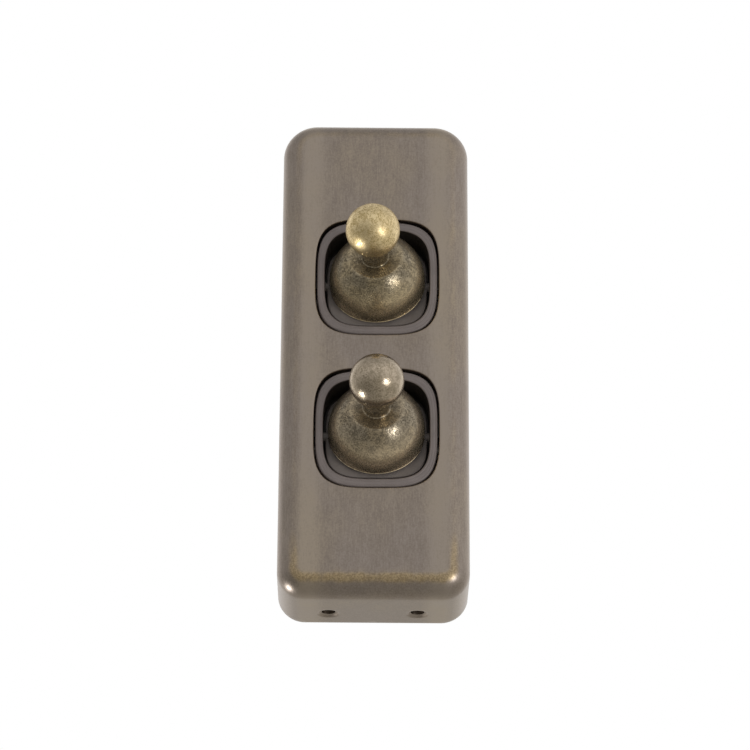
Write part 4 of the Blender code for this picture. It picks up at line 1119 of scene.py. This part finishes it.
# %% [markdown]
# ## Steels and contact brass
# The base is zinc-plated, and zinc freezes in flat crystals, so a Voronoi cell sets each
# crystal's tone and gloss. The screws are turned steel with a thin oxide, and the grub screws
# are blackened. The contacts are pressed from bright brass strip that has started to tarnish.

# %% Finish: metals inside
zinc = Finish("zinc_plate", 1.0)
CRYSTAL = 2.2 * MM
crystal_place = zinc.add("ShaderNodeMapping", None, {"Vector": zinc.place, "Scale": [1 / CRYSTAL] * 3})
crystal = zinc.add("ShaderNodeTexVoronoi", None, {"Vector": crystal_place, "Scale": 1.0}, output="Color")
cell = zinc.add("ShaderNodeSeparateColor", None, {"Color": crystal}, output="Red")
rolled = zinc.noise(0.2 * MM, 3, 0.6, (1, 1, 20))
stained = zinc.noise(7 * MM, 4, 0.6).between(0.5, 0.75)
tone = zinc.blend(cell * 0.6 + (rolled - 0.5) * 0.5, (0.46, 0.465, 0.46), (0.62, 0.625, 0.60))
zinc.feed(Base_Color=zinc.blend(stained * 0.5, tone, (0.50, 0.44, 0.30)))
zinc.feed(Roughness=0.34 + cell * 0.12 + (rolled - 0.5) * 0.10 + stained * 0.08)
zinc.bump(rolled * 0.6 + cell * 0.2, 0.006 * MM)
zinc.dress(base)


def bare_metal(name, clean, dull, rough, grain_size):
    """Turned or drawn metal with a thin, uneven oxide."""
    finish = Finish(name, 1.0)
    lines = finish.noise(grain_size, 3, 0.6)
    oxide = finish.noise(0.9 * MM, 5, 0.65, twist=0.5).between(0.42, 0.68)
    finish.feed(Base_Color=finish.blend(oxide * 0.8, clean, dull))
    finish.feed(Roughness=rough + oxide * 0.16 + (lines - 0.5) * 0.12)
    finish.bump(lines + oxide * 0.4, 0.005 * MM)
    return finish


screw_steel = bare_metal("screw_steel", (0.50, 0.48, 0.45), (0.20, 0.17, 0.14), 0.30, 0.07 * MM)
blackened = bare_metal("blackened_steel", (0.30, 0.27, 0.23), (0.17, 0.145, 0.12), 0.48, 0.07 * MM)
spring_steel = bare_metal("spring_steel", (0.46, 0.46, 0.47), (0.25, 0.22, 0.20), 0.26, 0.05 * MM)
strip_brass = bare_metal("contact_brass", (0.78, 0.60, 0.30), (0.42, 0.27, 0.13), 0.24, 0.09 * MM)
screw_steel.dress(*screws, *small["steel"])
blackened.dress(*grubs)
spring_steel.dress(*small["spring"])
strip_brass.dress(*strips, *small["brass"])
bare = [o.name for o in shown if not o.data.materials]
print("without a finish:", bare)

# %% [markdown]
# ## Floor, light and camera
# The switch would hang on a wall, so the pale floor lies some way below it. The light is a large
# white studio: bright behind, dimmer and warmer there low down, and in front softer from above
# and darker at the left, which gives the round edges their shading. A world that depends on
# direction does that without lamps. Two small lamps give the sharp glints on the balls and bells.

# %% Floor
FLOOR_Z, FLOOR_HALF = -0.46, 4.0
floor_shape = bmesh.new()
bmesh.ops.create_grid(floor_shape, x_segments=1, y_segments=1, size=FLOOR_HALF)
floor_mesh = bpy.data.meshes.new("floor")
floor_shape.to_mesh(floor_mesh)
floor_shape.free()
floor_mesh.transform(Matrix.Translation((0, 0, FLOOR_Z)))
floor = bpy.data.objects.new("floor", floor_mesh)
bpy.context.scene.collection.objects.link(floor)
pale = Finish("pale_floor", 0.0, Roughness=0.8)
pale.feed(Base_Color=pale.blend(pale.noise(0.03, 4, 0.6), (0.80, 0.79, 0.77), (0.84, 0.83, 0.81)))
pale.dress(floor)
floor.visible_glossy = False

# %% Studio
world = bpy.data.worlds.new("studio")
world.use_nodes = True
bpy.context.scene.world = world
studio = Nodes(world.node_tree)
background = world.node_tree.nodes["Background"]
direction = studio.add("ShaderNodeTexCoord", output="Generated")
toward = {axis: studio.add("ShaderNodeSeparateXYZ", None, {0: direction}, output=axis) for axis in "XYZ"}
behind = toward["Y"].between(0.10, 0.85)
right = toward["X"].between(-0.9, 0.9)
above = toward["Z"].between(-0.75, 0.65)
raised = toward["Z"].between(-0.60, 0.30)
zenith = toward["Z"].between(0.55, 1.0)
front_glow = 0.22 + 0.24 * right + 0.34 * above - 0.20 * zenith
back_glow = 0.52 + 0.62 * raised
glow = front_glow + behind * (back_glow - front_glow)
seen = studio.add("ShaderNodeLightPath", output="Is Camera Ray")
warm = studio.blend(raised, (1.0, 0.975, 0.90), (1.0, 0.995, 0.985))
grey = studio.add("ShaderNodeCombineColor", None, {0: glow, 1: glow, 2: glow})
lit = studio.blend(1.0, warm, grey, "MULTIPLY")
shown_white = studio.blend(seen, lit, (1.0, 1.0, 1.0))
world.node_tree.links.new(shown_white.socket, background.inputs["Color"])


LAMP_DISTANCE = 0.60


def lamp(name, towards, size, power):
    """Square soft box that faces the switch from a direction."""
    light = bpy.data.lights.new(name, "AREA")
    light.size, light.energy = size, power
    holder = bpy.data.objects.new(name, light)
    bpy.context.scene.collection.objects.link(holder)
    away = Vector(towards).normalized()
    holder.location = away * LAMP_DISTANCE
    holder.rotation_euler = away.to_track_quat("Z", "Y").to_euler()


lamp("left_low_lamp", (-0.73, 0.23, -0.64), size=0.035, power=1.1)
lamp("right_front_lamp", (0.64, -0.69, -0.35), size=0.13, power=0.58)

# %% [markdown]
# ## The camera
# The view is from a little below and straight in front, through a long lens, so the sides of the
# cover nearly vanish and its lower wall shows.

# %% Camera
DISTANCE = 739.47 * MM
TARGET = Vector((0.188, 0.0, 2.334)) * MM
ELEVATION, YAW, ROLL = math.radians(-23.267), math.radians(-0.314), math.radians(0.3098)
SENSOR, FOCAL_LENGTH = 36.0, 163.6
outward = math.cos(ELEVATION)
back = Vector((math.sin(YAW) * outward, -math.cos(YAW) * outward, math.sin(ELEVATION)))
level = (-back).cross(Vector((0, 0, 1))).normalized()
upright = level.cross(-back)
right_hand = math.cos(ROLL) * level + math.sin(ROLL) * upright
overhead = -math.sin(ROLL) * level + math.cos(ROLL) * upright
lens = bpy.data.cameras.new("camera")
lens.sensor_width = SENSOR
lens.lens = FOCAL_LENGTH
camera = bpy.data.objects.new("camera", lens)
bpy.context.scene.collection.objects.link(camera)
facing = Matrix((right_hand, overhead, back)).transposed().to_4x4()
camera.matrix_world = Matrix.Translation(TARGET + back * DISTANCE) @ facing
bpy.context.scene.camera = camera
bpy.context.scene.view_settings.view_transform = "Standard"
print("camera at", [round(v / MM, 1) for v in camera.location])
